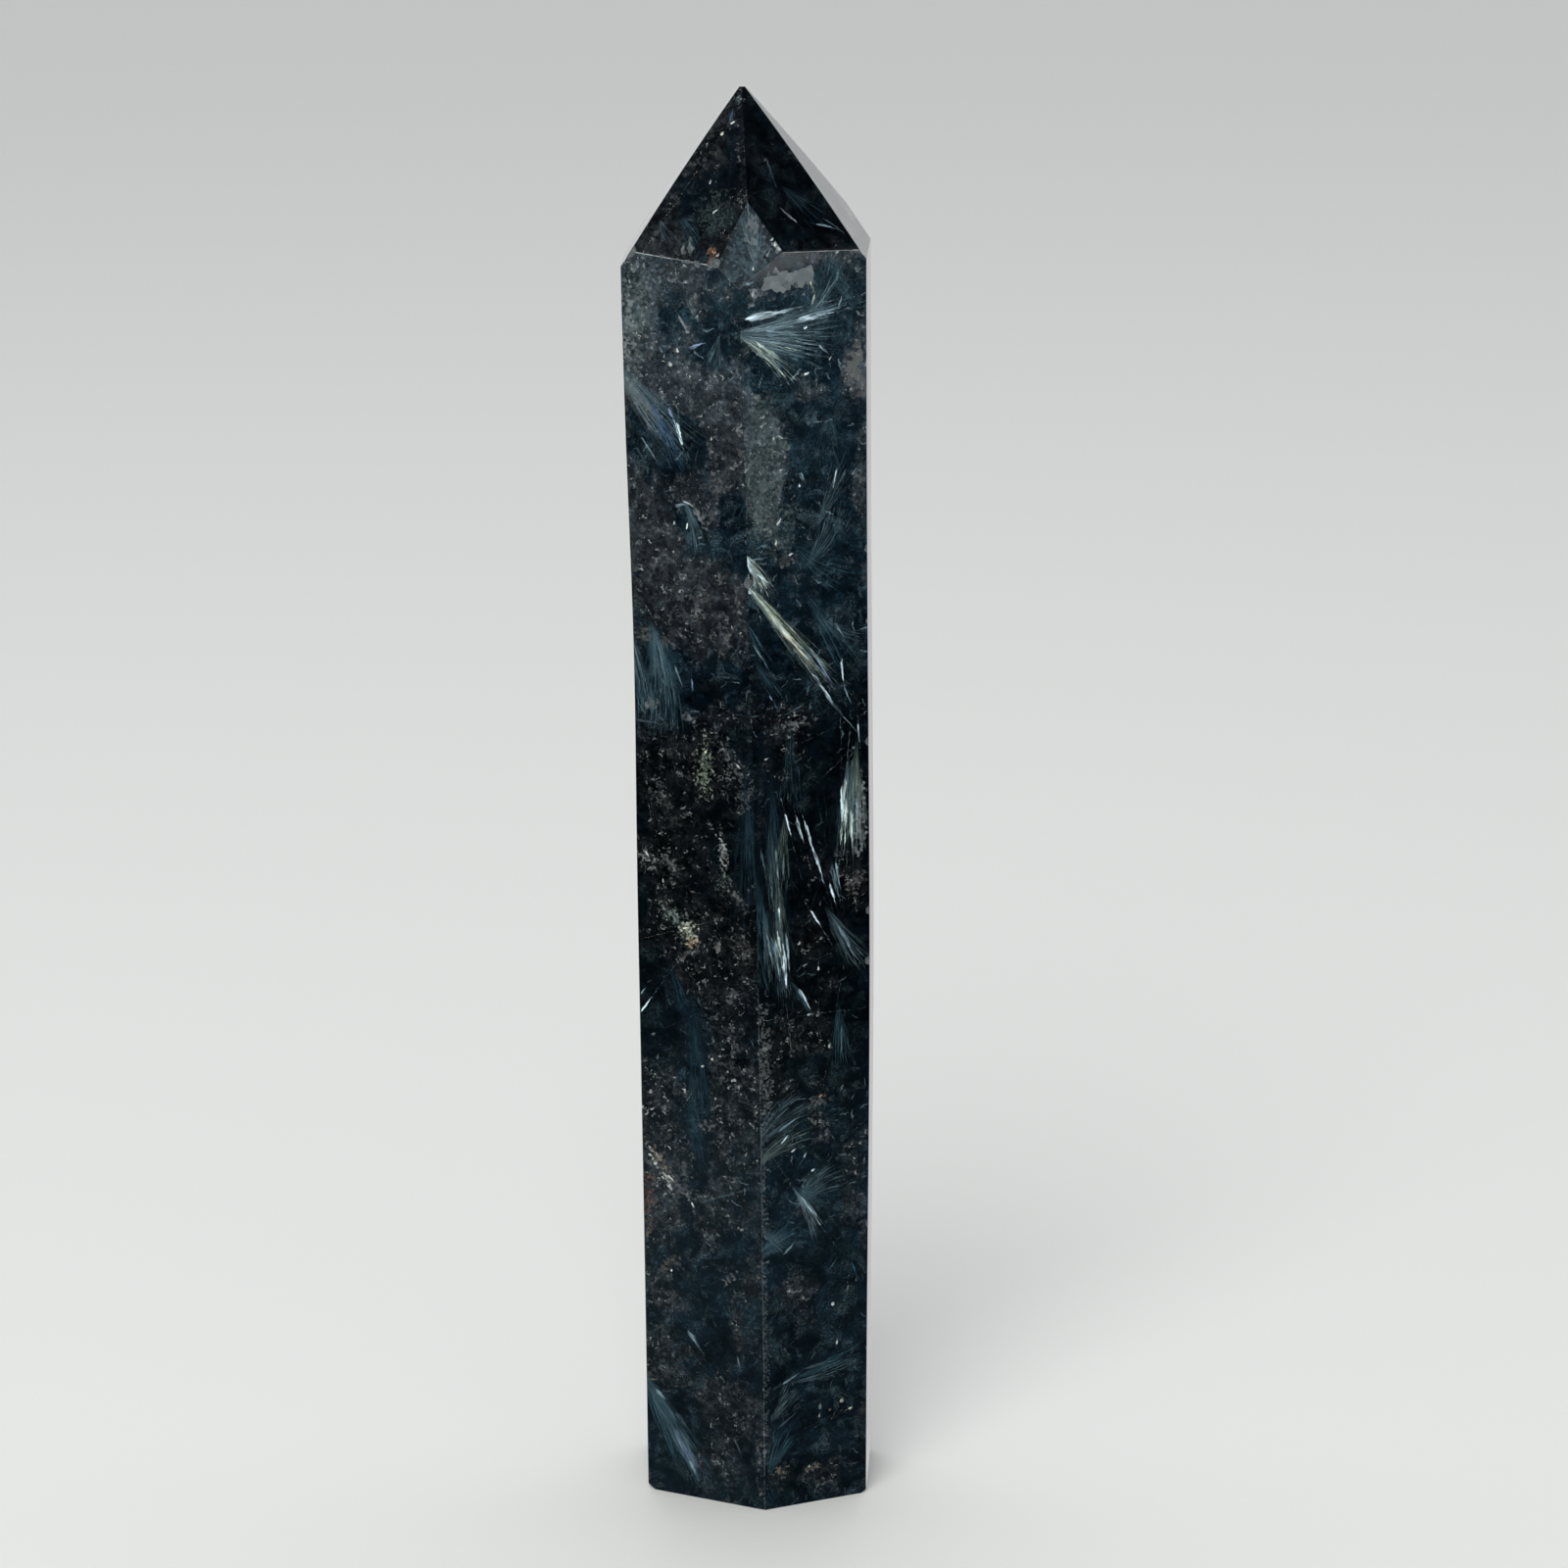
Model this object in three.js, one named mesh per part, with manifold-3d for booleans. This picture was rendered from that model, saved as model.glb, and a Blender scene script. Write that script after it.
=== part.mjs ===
// A polished six-sided astrophyllite point, standing on its sawn base. Millimetres, +Z up, front edge towards -Y.
// The column's six faces are bowed a little along their height, as hand-ground faces are. Six gently domed tip
// facets meet at the apex, and one small flat facet takes off the head of the front edge.
import * as THREE from "three";
import { mergeVertices } from "three/addons/utils/BufferGeometryUtils.js";
import Module from "manifold-3d";

const wasm = await Module();
wasm.setup();

// Heights.
const HEIGHT = 170; // base to the worn apex
const SHARP_APEX = 170.4; // where the tip facets would meet if the apex weren't worn
const COLUMN_HEIGHT = 150; // the column's faces bow over this height
const BLANK_HEIGHT = 172; // the rod before its tip is ground
const STATION_SPACING = 5; // between the heights at which a column face bends

// The apex stands a little off the column's axis.
const APEX = { x: 0.09, y: 0.455 };

// Column faces, anticlockwise from the front right. azimuth: the way the face looks, in degrees from -Y towards
// +X. reach: from the axis at the base. lean: inwards going up, in degrees. sweep: how proud the middle stands
// (negative on a hollow face). swell: one more soft rise or dip, at a height and with a spread.
const COLUMN_FACES = [
  { azimuth: 19.6, reach: 10.7, lean: 0.18, sweep: 0.15 },
  { azimuth: 86.9, reach: 13.84, lean: -0.07, sweep: 0.1, swell: { rise: 0.33, height: 68, spread: 27 } },
  { azimuth: 156, reach: 9.44, lean: 0, sweep: -0.1 },
  { azimuth: 201.8, reach: 10.52, lean: 0, sweep: 0.12 },
  { azimuth: 270.6, reach: 13.53, lean: 0.06, sweep: -0.27, swell: { rise: -0.31, height: 107, spread: 14 } },
  { azimuth: 340.3, reach: 9.93, lean: -0.16, sweep: -0.2 },
];

// Tip facets. slope: from the horizontal, in degrees. dome: how proud the facet's middle stands.
const TIP_FACETS = [
  { azimuth: 20.1, slope: 58.6, dome: 0.15 },
  { azimuth: 83.4, slope: 52.1, dome: 0.17 },
  { azimuth: 158.5, slope: 58.4, dome: 0.22 },
  { azimuth: 202.4, slope: 59.8, dome: 0.19 },
  { azimuth: 272.3, slope: 54.4, dome: 0.19 },
  { azimuth: 344, slope: 59.9, dome: 0.24 },
];
const FACET_LENGTH = 22; // apex to shoulder, down the slope
const FACET_BENDS = 6; // flats that make up a domed facet

// The small facet at the head of the front edge: steeper than its neighbours, so its plane passes over the apex.
const HEAD_FACET = { azimuth: 2.93, slope: 68.42, dome: 0 };
const HEAD_FACET_TOP = 178.03;

// Worn base corners: how far each is cut back from the sharp corner. Corner k lies before face k, so 0 is the
// front edge's foot and 5 the left's.
const BASE_NIPS = [
  { corner: 5, depth: 0.5 },
  { corner: 1, depth: 0.32 },
  { corner: 3, depth: 0.18 },
];

// Chips: shell-shaped scoops, each at a point of the surface and facing azimuth and tilt (upwards).
const CHIPS = {
  leftShoulderCorner: { at: [-12.1, -6.62, 152.9], azimuth: -45, tilt: 25, radius: 1.3, depth: 0.34 },
  rustyShoulder: { at: [-2.75, -9.85, 152.2], azimuth: -18, tilt: 15, radius: 1.3, depth: 0.26 },
  headFacetCorner: { at: [3.9, -9.4, 153.3], azimuth: 12, tilt: 22, radius: 1.2, depth: 0.24 },
  frontEdgeNotch: { at: [0.4, -10.93, 116.6], azimuth: 2, tilt: 0, radius: 0.9, depth: 0.3 },
  frontEdgeLow: { at: [0.9, -10.95, 60], azimuth: 0, tilt: 0, radius: 0.7, depth: 0.14 },
  frontEdgeLowest: { at: [1.2, -10.95, 8], azimuth: 0, tilt: 0, radius: 0.7, depth: 0.14 },
  leftEdgeHigh: { at: [-13.35, -6.2, 148], azimuth: -60, tilt: 0, radius: 0.8, depth: 0.2 },
  leftEdgeMiddle: { at: [-13.4, -6.15, 143.4], azimuth: -60, tilt: 0, radius: 0.9, depth: 0.22 },
  leftEdgeLower: { at: [-13.45, -6.1, 130], azimuth: -60, tilt: 0, radius: 0.7, depth: 0.14 },
  rightEdge: { at: [13.66, -6.2, 119.4], azimuth: 55, tilt: 0, radius: 0.7, depth: 0.14 },
  backEdge: { at: [-1.15, 10.85, 96], azimuth: 180, tilt: 0, radius: 1, depth: 0.2 },
};

const SIDES = COLUMN_FACES.length;
const CUTTER = 40; // blocks this big reach clear of the stone
const SAME_CORNER = 0.1; // a vertex of the unit rod this near a corner is that corner's
const [CUT_START, CUT_END] = [-0.3, 1.5]; // a tip cut's reach past the apex and the shoulder, in facet lengths

// The horizontal unit vector that looks along an azimuth.
function outward(azimuth) {
  const angle = THREE.MathUtils.degToRad(azimuth);
  return new THREE.Vector2(Math.sin(angle), -Math.cos(angle));
}

// A closed geometry as a solid that can be cut.
function solidOf(geometry) {
  const bare = geometry.clone();
  bare.deleteAttribute("normal");
  bare.deleteAttribute("uv");
  const merged = mergeVertices(bare);
  const vertProperties = new Float32Array(merged.attributes.position.array);
  const triVerts = new Uint32Array(merged.index.array);
  return new wasm.Manifold(new wasm.Mesh({ numProp: 3, vertProperties, triVerts }));
}

// A cut solid as a geometry.
function geometryOf(solid) {
  const mesh = solid.getMesh();
  const geometry = new THREE.BufferGeometry();
  geometry.setAttribute("position", new THREE.BufferAttribute(mesh.vertProperties, 3));
  geometry.setIndex(new THREE.BufferAttribute(mesh.triVerts, 1));
  geometry.computeVertexNormals();
  return geometry;
}

// How far a column face lies from the axis at height z.
function reachAt(face, z) {
  const lean = z * Math.tan(THREE.MathUtils.degToRad(face.lean));
  const along = THREE.MathUtils.clamp(z / COLUMN_HEIGHT, 0, 1);
  const sweep = face.sweep * Math.sin(Math.PI * along);
  const { rise, height, spread } = face.swell ?? { rise: 0, height: 0, spread: 1 };
  const swell = rise * Math.exp(-(((z - height) / spread) ** 2) / 2);
  return face.reach - lean + sweep + swell;
}

// Where corner k of the column lies at height z: between face k and the one before it.
function cornerAt(k, z) {
  const before = COLUMN_FACES[(k + SIDES - 1) % SIDES];
  const after = COLUMN_FACES[k % SIDES];
  const [n, m] = [outward(before.azimuth), outward(after.azimuth)];
  const [d, e] = [reachAt(before, z), reachAt(after, z)];
  const turn = n.cross(m);
  return new THREE.Vector3((d * m.y - e * n.y) / turn, (e * n.x - d * m.x) / turn, z);
}

// The column: a regular hexagonal rod whose corners are moved, station by station, to where its faces meet.
function column() {
  const corners = Array.from({ length: SIDES }, (_, k) => outward((360 / SIDES) * k));
  const steps = Math.round(BLANK_HEIGHT / STATION_SPACING);
  const rod = new THREE.ExtrudeGeometry(new THREE.Shape(corners), {
    depth: BLANK_HEIGHT,
    steps,
    bevelEnabled: false,
  });
  const position = rod.attributes.position;
  for (let i = 0; i < position.count; i += 1) {
    const here = new THREE.Vector2(position.getX(i), position.getY(i));
    const k = corners.findIndex((corner) => corner.distanceTo(here) < SAME_CORNER);
    const corner = cornerAt(k, position.getZ(i));
    position.setXYZ(i, corner.x, corner.y, corner.z);
  }
  return solidOf(rod);
}

// What the wheel takes away outside one tip facet. Its section, in (outwards, height), follows the domed facet
// from beyond the apex to beyond the shoulder, and it runs straight across the facet.
function facetCut(facet, top) {
  const slope = THREE.MathUtils.degToRad(facet.slope);
  const bends = facet.dome > 0 ? FACET_BENDS * 2 : 1;
  const outline = Array.from({ length: bends + 1 }, (_, i) => {
    const t = CUT_START + ((CUT_END - CUT_START) * i) / bends;
    const dome = facet.dome * 4 * t * (1 - t);
    const out = FACET_LENGTH * t * Math.cos(slope) + dome * Math.sin(slope);
    const up = top - FACET_LENGTH * t * Math.sin(slope) + dome * Math.cos(slope);
    return new THREE.Vector2(out, up);
  });
  outline.push(new THREE.Vector2(CUTTER, outline.at(-1).y));
  outline.push(new THREE.Vector2(CUTTER, top + CUTTER));
  outline.push(new THREE.Vector2(outline[0].x, top + CUTTER));
  const cut = new THREE.ExtrudeGeometry(new THREE.Shape(outline), { depth: 2 * CUTTER, bevelEnabled: false });
  cut.translate(0, 0, -CUTTER);
  cut.rotateX(Math.PI / 2);
  cut.rotateZ(THREE.MathUtils.degToRad(facet.azimuth - 90));
  cut.translate(APEX.x, APEX.y, 0);
  return solidOf(cut);
}

// Everything above the worn apex.
function apexCut() {
  const cap = new THREE.BoxGeometry(CUTTER, CUTTER, CUTTER);
  cap.translate(0, 0, HEIGHT + CUTTER / 2);
  return solidOf(cap);
}

// A block that takes off a base corner, square to the way out from the middle of the stone and down.
function baseNip({ corner, depth }) {
  const at = cornerAt(corner, 0);
  const out = new THREE.Vector3(at.x, at.y, 0).normalize();
  out.z = -1;
  out.normalize();
  const block = new THREE.BoxGeometry(CUTTER, CUTTER, CUTTER);
  block.applyQuaternion(new THREE.Quaternion().setFromUnitVectors(new THREE.Vector3(0, 0, 1), out));
  const middle = at.clone().addScaledVector(out, CUTTER / 2 - depth);
  block.translate(middle.x, middle.y, middle.z);
  return solidOf(block);
}

// A shell-shaped chip.
function chip({ at, azimuth, tilt, radius, depth }) {
  const level = outward(azimuth);
  const rise = THREE.MathUtils.degToRad(tilt);
  const out = new THREE.Vector3(level.x * Math.cos(rise), level.y * Math.cos(rise), Math.sin(rise));
  const scoop = new THREE.IcosahedronGeometry(radius, 1);
  scoop.rotateZ(THREE.MathUtils.degToRad(azimuth));
  const middle = new THREE.Vector3(...at).addScaledVector(out, radius - depth);
  scoop.translate(middle.x, middle.y, middle.z);
  return solidOf(scoop);
}

// The finished stone, its base centred on the origin.
function point() {
  const cuts = [
    ...TIP_FACETS.map((facet) => facetCut(facet, SHARP_APEX)),
    facetCut(HEAD_FACET, HEAD_FACET_TOP),
    apexCut(),
    ...BASE_NIPS.map(baseNip),
    ...Object.values(CHIPS).map(chip),
  ];
  const stone = cuts.reduce((solid, cut) => solid.subtract(cut), column());
  const geometry = geometryOf(stone);
  geometry.computeBoundingBox();
  const middle = geometry.boundingBox.getCenter(new THREE.Vector3());
  geometry.translate(-middle.x, -middle.y, 0);
  return geometry;
}

const stoneMaterial = new THREE.MeshStandardMaterial({ color: 0x161b22, roughness: 0.12, metalness: 0 });

const astrophyllitePoint = new THREE.Mesh(point(), stoneMaterial);
astrophyllitePoint.name = "astrophyllite_point";

const group = new THREE.Group();
group.add(astrophyllitePoint);

export default group;
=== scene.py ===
"""Dresses the polished astrophyllite point: its worn mesh, its markings and a plain studio."""

import logging
import math
import random
from dataclasses import dataclass, field
from enum import Enum

import bmesh
import bpy
from mathutils import Matrix, Vector, noise


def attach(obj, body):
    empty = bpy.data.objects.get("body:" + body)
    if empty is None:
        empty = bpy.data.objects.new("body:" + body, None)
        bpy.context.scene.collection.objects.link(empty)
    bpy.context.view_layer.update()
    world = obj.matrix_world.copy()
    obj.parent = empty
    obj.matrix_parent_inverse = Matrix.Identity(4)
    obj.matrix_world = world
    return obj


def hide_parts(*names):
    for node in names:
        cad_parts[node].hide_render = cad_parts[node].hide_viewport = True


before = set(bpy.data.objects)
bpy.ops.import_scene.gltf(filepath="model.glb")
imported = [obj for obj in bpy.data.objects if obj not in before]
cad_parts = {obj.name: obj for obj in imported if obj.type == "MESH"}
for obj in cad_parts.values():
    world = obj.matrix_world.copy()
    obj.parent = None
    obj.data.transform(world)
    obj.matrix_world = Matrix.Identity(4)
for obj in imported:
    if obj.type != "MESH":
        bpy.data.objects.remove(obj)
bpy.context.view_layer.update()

log = logging.getLogger("astrophyllite")

MM = 0.001  # metres in a millimetre
FLAT = 1.0e6  # a mapping scale that presses a direction flat
HAIR = 1.0e-9  # a share too small to see
WOBBLE = 0.22  # how far the outlines of the markings wander, in millimetres
SHAKE = 0.6  # how far the outlines of the small grains wander, in millimetres
COARSE_GRAINS = 1.7  # the ground's larger crystals to the millimetre
FINE_GRAINS = 3.6  # its smaller ones
UP = Vector((0.0, 0.0, 1.0))
NODE = "astrophyllite_point"


class Tint(Enum):
    """Colours of the stone, as red, green and blue out of 255."""

    DEEP = (1, 6, 13)
    BLUE_BLACK = (15, 29, 38)
    TEAL = (40, 62, 71)
    HAZE = (28, 45, 52)
    SLATE = (68, 86, 93)
    # STEEL and ICE colour the bright blades: partly their own pale colour, partly a painted highlight.
    STEEL = (116, 138, 147)
    ICE = (194, 216, 226)
    BLUE = (50, 78, 104)
    LAVENDER = (120, 136, 166)
    GREEN_GREY = (82, 96, 92)
    PALE_GREEN = (174, 192, 184)
    GOLD = (148, 158, 138)
    STRAW = (198, 202, 180)
    UMBER = (4, 9, 17)
    MAUVE = (45, 50, 54)
    ROSE = (90, 91, 91)
    CHALK = (182, 190, 188)
    ASH = (106, 113, 115)
    RUST = (92, 68, 58)
    ORANGE = (146, 112, 90)
    TAN = (92, 88, 80)

    def linear(self) -> tuple[float, float, float, float]:
        """Returns the colour as a linear red, green, blue and alpha."""
        channels = [c / 255 for c in self.value]
        straight = [c / 12.92 if c <= 0.04045 else ((c + 0.055) / 1.055) ** 2.4 for c in channels]
        return (*straight, 1.0)


(
    DEEP, BLUE_BLACK, TEAL, HAZE, SLATE, STEEL, ICE,
    BLUE, LAVENDER, GREEN_GREY, PALE_GREEN, GOLD, STRAW, UMBER,
    MAUVE, ROSE, CHALK, ASH, RUST, ORANGE, TAN,
) = Tint

Point = tuple[float, float]
Spot = tuple[float, float, float]
Socket = bpy.types.NodeSocket
Value = Socket | Tint | float | tuple[float, ...]
Feeds = dict[str | int, Value]

def bearing(azimuth: float, rise: float = 0.0) -> Vector:
    """Gives a direction.

    Args:
        azimuth: its way round, in degrees from -Y towards +X.
        rise: how far it looks up, in degrees.

    Returns:
        The direction, one unit long.
    """
    turn, lift = math.radians(azimuth), math.radians(rise)
    return Vector((math.sin(turn) * math.cos(lift), -math.cos(turn) * math.cos(lift), math.sin(lift)))


def linked(name: str, data: bpy.types.ID) -> bpy.types.Object:
    """Links a new object to the scene.

    Args:
        name: its name.
        data: what it holds.

    Returns:
        The object.
    """
    made = bpy.data.objects.new(name, data)
    bpy.context.scene.collection.objects.link(made)
    return made


# ---------------------------------------------------------------- the stone's shape


@dataclass(frozen=True)
class ColumnFace:
    """One long face of the column.

    Args:
        azimuth: the way it looks, in degrees from -Y towards +X.
        reach: how far it lies from the axis at the base.
        lean: how far it leans inwards going up, in degrees.
        sweep: how proud its middle stands; negative on a hollow face.
        rise, height, spread: one more soft swell, its size, its height and its spread.
    """

    azimuth: float
    reach: float
    lean: float
    sweep: float
    rise: float = 0.0
    height: float = 0.0
    spread: float = 1.0

    def outward(self) -> Vector:
        """Returns the level direction that the face looks in."""
        return bearing(self.azimuth)

    def across(self) -> Vector:
        """Returns the level direction along the face, to the right when it is looked at."""
        return bearing(self.azimuth + 90)

    def reach_at(self, height: float, column: float) -> float:
        """Gives the face's distance from the axis.

        Args:
            height: where it is wanted.
            column: the height over which the face bows.

        Returns:
            The distance from the axis there.
        """
        along = min(max(height / column, 0.0), 1.0)
        swell = self.rise * math.exp(-(((height - self.height) / self.spread) ** 2) / 2)
        leaning = height * math.tan(math.radians(self.lean))
        return self.reach - leaning + self.sweep * math.sin(math.pi * along) + swell


@dataclass(frozen=True)
class TipFacet:
    """One facet of the tip: the way it looks, its slope from the level and its middle's rise."""

    azimuth: float
    slope: float
    dome: float

    def facing(self) -> Vector:
        """Returns the direction that the facet looks in."""
        return bearing(self.azimuth, 90 - self.slope)


@dataclass(frozen=True)
class Chip:
    """A shell-shaped chip: a point of the surface, the way it looks, and the scoop that made it."""

    at: Spot
    azimuth: float
    tilt: float
    radius: float
    depth: float


@dataclass(frozen=True)
class NibbleRun:
    """Small nibbles along an arris between two points.

    Args:
        start, end: where the run starts and ends.
        azimuth: the way the arris looks.
        count: how many nibbles there are.
        depth: how deep the deepest goes.
    """

    start: Spot
    end: Spot
    azimuth: float
    count: int
    depth: float


class Part(Enum):
    """What a polygon of the stone belongs to, apart from its faces."""

    SAWN_BASE = "sawn_base"
    FRACTURE = "fracture"
    # The shoulder arris carries a painted highlight.
    SHOULDER_ARRIS = "shoulder_arris"
    FRONT_ARRIS = "front_arris"


@dataclass
class StonePoint:
    """The polished point, in millimetres, with its base centred on the origin."""

    height: float = 170.0
    sharp_apex: float = 170.4
    column: float = 150.0
    blank: float = 172.0
    blank_steps: int = 34
    bowed_steps: int = 29
    apex: Point = (0.09, 0.455)
    recentre: Point = (-0.4926, 0.0395)
    facet_length: float = 22.0
    facet_flats: int = 15
    facet_end: float = 1.5
    head_top: float = 178.03
    arris_width: float = 0.11
    arris_rounds: int = 3
    sharp_bend: float = 8.0
    faces: tuple[ColumnFace, ...] = (
        ColumnFace(19.6, 10.7, 0.18, 0.15),
        ColumnFace(86.9, 13.84, -0.07, 0.1, rise=0.33, height=68, spread=27),
        ColumnFace(156, 9.44, 0, -0.1),
        ColumnFace(201.8, 10.52, 0, 0.12),
        ColumnFace(270.6, 13.53, 0.06, -0.27, rise=-0.31, height=107, spread=14),
        ColumnFace(340.3, 9.93, -0.16, -0.2),
    )
    tips: tuple[TipFacet, ...] = (
        TipFacet(20.1, 58.6, 0.15),
        TipFacet(83.4, 52.1, 0.17),
        TipFacet(158.5, 58.4, 0.22),
        TipFacet(202.4, 59.8, 0.19),
        TipFacet(272.3, 54.4, 0.19),
        TipFacet(344, 59.9, 0.24),
    )
    head: TipFacet = TipFacet(2.93, 68.42, 0.0)
    nips: tuple[tuple[int, float], ...] = ((5, 0.5), (1, 0.32), (3, 0.18))
    chips: tuple[Chip, ...] = (
        Chip((-12.1, -6.62, 152.9), -45, 25, 1.3, 0.34),
        Chip((-2.75, -9.85, 152.2), -18, 15, 1.3, 0.26),
        Chip((3.9, -9.4, 153.3), 12, 22, 1.2, 0.24),
        Chip((0.4, -10.93, 116.6), 2, 0, 0.9, 0.3),
        Chip((0.9, -10.95, 60), 0, 0, 0.7, 0.14),
        Chip((1.2, -10.95, 8), 0, 0, 0.7, 0.14),
        Chip((-13.35, -6.2, 148), -60, 0, 0.8, 0.2),
        Chip((-13.4, -6.15, 143.4), -60, 0, 0.9, 0.22),
        Chip((-13.45, -6.1, 130), -60, 0, 0.7, 0.14),
        Chip((13.66, -6.2, 119.4), 55, 0, 0.7, 0.14),
        Chip((-1.15, 10.85, 96), 180, 0, 1, 0.2),
    )
    nibble_runs: tuple[NibbleRun, ...] = (
        NibbleRun((-13.38, -6.2, 150), (-13.45, -6.12, 128), -56, 16, 0.12),
        NibbleRun((-13.5, -6.05, 126), (-13.5, -5.8, 4), -56, 12, 0.07),
        NibbleRun((0.85, -10.97, 68), (0.95, -10.97, 52), 0, 9, 0.08),
        NibbleRun((1.1, -10.96, 24), (1.15, -10.96, 4), 0, 10, 0.08),
        NibbleRun((0.1, -10.95, 146), (0.7, -10.97, 72), 0, 10, 0.06),
        NibbleRun((13.72, -6.1, 150), (13.6, -6.4, 6), 53, 12, 0.06),
        NibbleRun((14.3, 4.0, 148), (14.15, 4.0, 8), 121, 12, 0.07),
        NibbleRun((-1.15, 10.92, 150), (-1.2, 10.88, 6), 180, 14, 0.08),
        NibbleRun((-13.5, 5.9, 148), (-13.6, 5.9, 6), 236, 12, 0.07),
        NibbleRun((-12.0, -6.7, 153.0), (-3.2, -9.75, 151.8), -20, 7, 0.06),
        NibbleRun((4.8, -9.2, 153.1), (12.6, -6.4, 152.9), 20, 5, 0.05),
    )
    seed: int = 41
    stone: bpy.types.Object | None = field(default=None, init=False)

    def corner_at(self, corner: int, height: float) -> Vector:
        """Finds where the faces either side of a corner meet.

        Args:
            corner: its number; corner k lies before face k.
            height: the height wanted.

        Returns:
            The corner there, before the stone is recentred.
        """
        before = self.faces[corner - 1]
        after = self.faces[corner % len(self.faces)]
        n, m = before.outward(), after.outward()
        d, e = before.reach_at(height, self.column), after.reach_at(height, self.column)
        turn = n.x * m.y - n.y * m.x
        return Vector(((d * m.y - e * n.y) / turn, (e * n.x - d * m.x) / turn, height))

    def station(self, step: int) -> float:
        """Returns the height of a station, where the column's faces bend."""
        return self.blank / self.blank_steps * step

    def build(self) -> bpy.types.Object:
        """Models the stone.

        Returns:
            The finished object, in metres, at the origin.
        """
        rock = self._column()
        self._grind_tip(rock)
        self._nip_base(rock)
        self._soften(rock)
        self._cut(rock, UP * self.height, UP)
        bmesh.ops.recalc_face_normals(rock, faces=rock.faces)
        body = self._to_object(rock, "polished_point")
        scoops = self._scoops()
        self.stone = self._carve(body, scoops)
        self._smooth(self.stone.data)
        return self.stone

    def _column(self) -> bmesh.types.BMesh:
        """Spins a six-sided rod straight up, then moves its corners to where the faces meet.

        Returns:
            The rod.
        """
        rod = bmesh.new()
        bmesh.ops.create_circle(rod, cap_ends=True, segments=len(self.faces), radius=1.0)
        rise = UP * self.station(1)
        bmesh.ops.spin(
            rod,
            geom=rod.verts[:] + rod.edges[:] + rod.faces[:],
            cent=(0, 0, 0),
            axis=(0, 0, 1),
            dvec=rise,
            angle=0.0,
            steps=self.bowed_steps + 1,
        )
        for vertex in rod.verts:
            turn = math.degrees(math.atan2(vertex.co.x, -vertex.co.y))
            corner = round(turn / (360 / len(self.faces))) % len(self.faces)
            step = round(vertex.co.z / rise.z)
            height = self.blank if step > self.bowed_steps else self.station(step)
            vertex.co = self.corner_at(corner, height)
        bmesh.ops.recalc_face_normals(rod, faces=rod.faces)
        return rod

    @staticmethod
    def _cut(rock: bmesh.types.BMesh, at: Vector, facing: Vector) -> None:
        """Grinds away what lies beyond a plane and closes the flat.

        Args:
            rock: what is ground.
            at: a point of the plane.
            facing: the way the new flat looks.
        """
        everything = rock.verts[:] + rock.edges[:] + rock.faces[:]
        made = bmesh.ops.bisect_plane(
            rock, geom=everything, dist=1e-5, plane_co=at, plane_no=facing, clear_outer=True
        )
        rim = [e for e in made["geom_cut"] if isinstance(e, bmesh.types.BMEdge)]
        open_rim = [e for e in rim if e.is_valid and len(e.link_faces) == 1]
        if open_rim:
            bmesh.ops.edgenet_fill(rock, edges=open_rim)

    def _grind_tip(self, rock: bmesh.types.BMesh) -> None:
        """Grinds the six domed facets, each as a run of narrow flats, and the head facet.

        Args:
            rock: the rod.
        """
        top = Vector((*self.apex, self.sharp_apex))
        step = self.facet_end / self.facet_flats
        for facet in self.tips:
            for flat in range(self.facet_flats):
                start = self._on_dome(facet, flat * step)
                down = self._on_dome(facet, (flat + 1) * step) - start
                level = bearing(facet.azimuth)
                facing = (level * down.x + UP * down.y).cross(bearing(facet.azimuth + 90))
                self._cut(rock, top + level * start.x + UP * start.y, facing.normalized())
        self._cut(rock, Vector((*self.apex, self.head_top)), self.head.facing())

    def _on_dome(self, facet: TipFacet, along: float) -> Vector:
        """Follows a facet's section, from the apex down.

        Args:
            facet: the facet.
            along: the share of its length.

        Returns:
            How far out of the sharp apex the section lies there, and how far up.
        """
        steep = math.radians(facet.slope)
        dome = facet.dome * 4 * along * (1 - along)
        out = self.facet_length * along * math.cos(steep) + dome * math.sin(steep)
        up = dome * math.cos(steep) - self.facet_length * along * math.sin(steep)
        return Vector((out, up))

    def _nip_base(self, rock: bmesh.types.BMesh) -> None:
        """Cuts back the worn corners of the base.

        Args:
            rock: the rod, its tip ground.
        """
        for corner, depth in self.nips:
            at = self.corner_at(corner, 0)
            facing = (at.normalized() - UP).normalized()
            self._cut(rock, at - facing * depth, facing)

    def _soften(self, rock: bmesh.types.BMesh) -> None:
        """Rounds every sharp arris by a hair.

        Args:
            rock: the ground rod.
        """
        bmesh.ops.remove_doubles(rock, verts=rock.verts[:], dist=1e-4)
        bmesh.ops.recalc_face_normals(rock, faces=rock.faces)
        limit = math.radians(self.sharp_bend)
        arrises = [e for e in rock.edges if e.is_manifold and e.calc_face_angle(0) > limit]
        bmesh.ops.bevel(
            rock,
            geom=arrises,
            offset=self.arris_width,
            offset_type="OFFSET",
            segments=self.arris_rounds,
            profile=0.5,
            affect="EDGES",
            material=-1,
            clamp_overlap=True,
        )

    def _to_object(self, shape: bmesh.types.BMesh, name: str) -> bpy.types.Object:
        """Recentres a shape, turns it into metres and links it.

        Args:
            shape: what becomes a mesh; it is freed.
            name: the object's name.

        Returns:
            The object.
        """
        bmesh.ops.translate(shape, verts=shape.verts[:], vec=Vector((*self.recentre, 0)))
        bmesh.ops.scale(shape, verts=shape.verts[:], vec=Vector((MM, MM, MM)))
        mesh = bpy.data.meshes.new(name)
        shape.to_mesh(mesh)
        shape.free()
        return linked(name, mesh)

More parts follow.
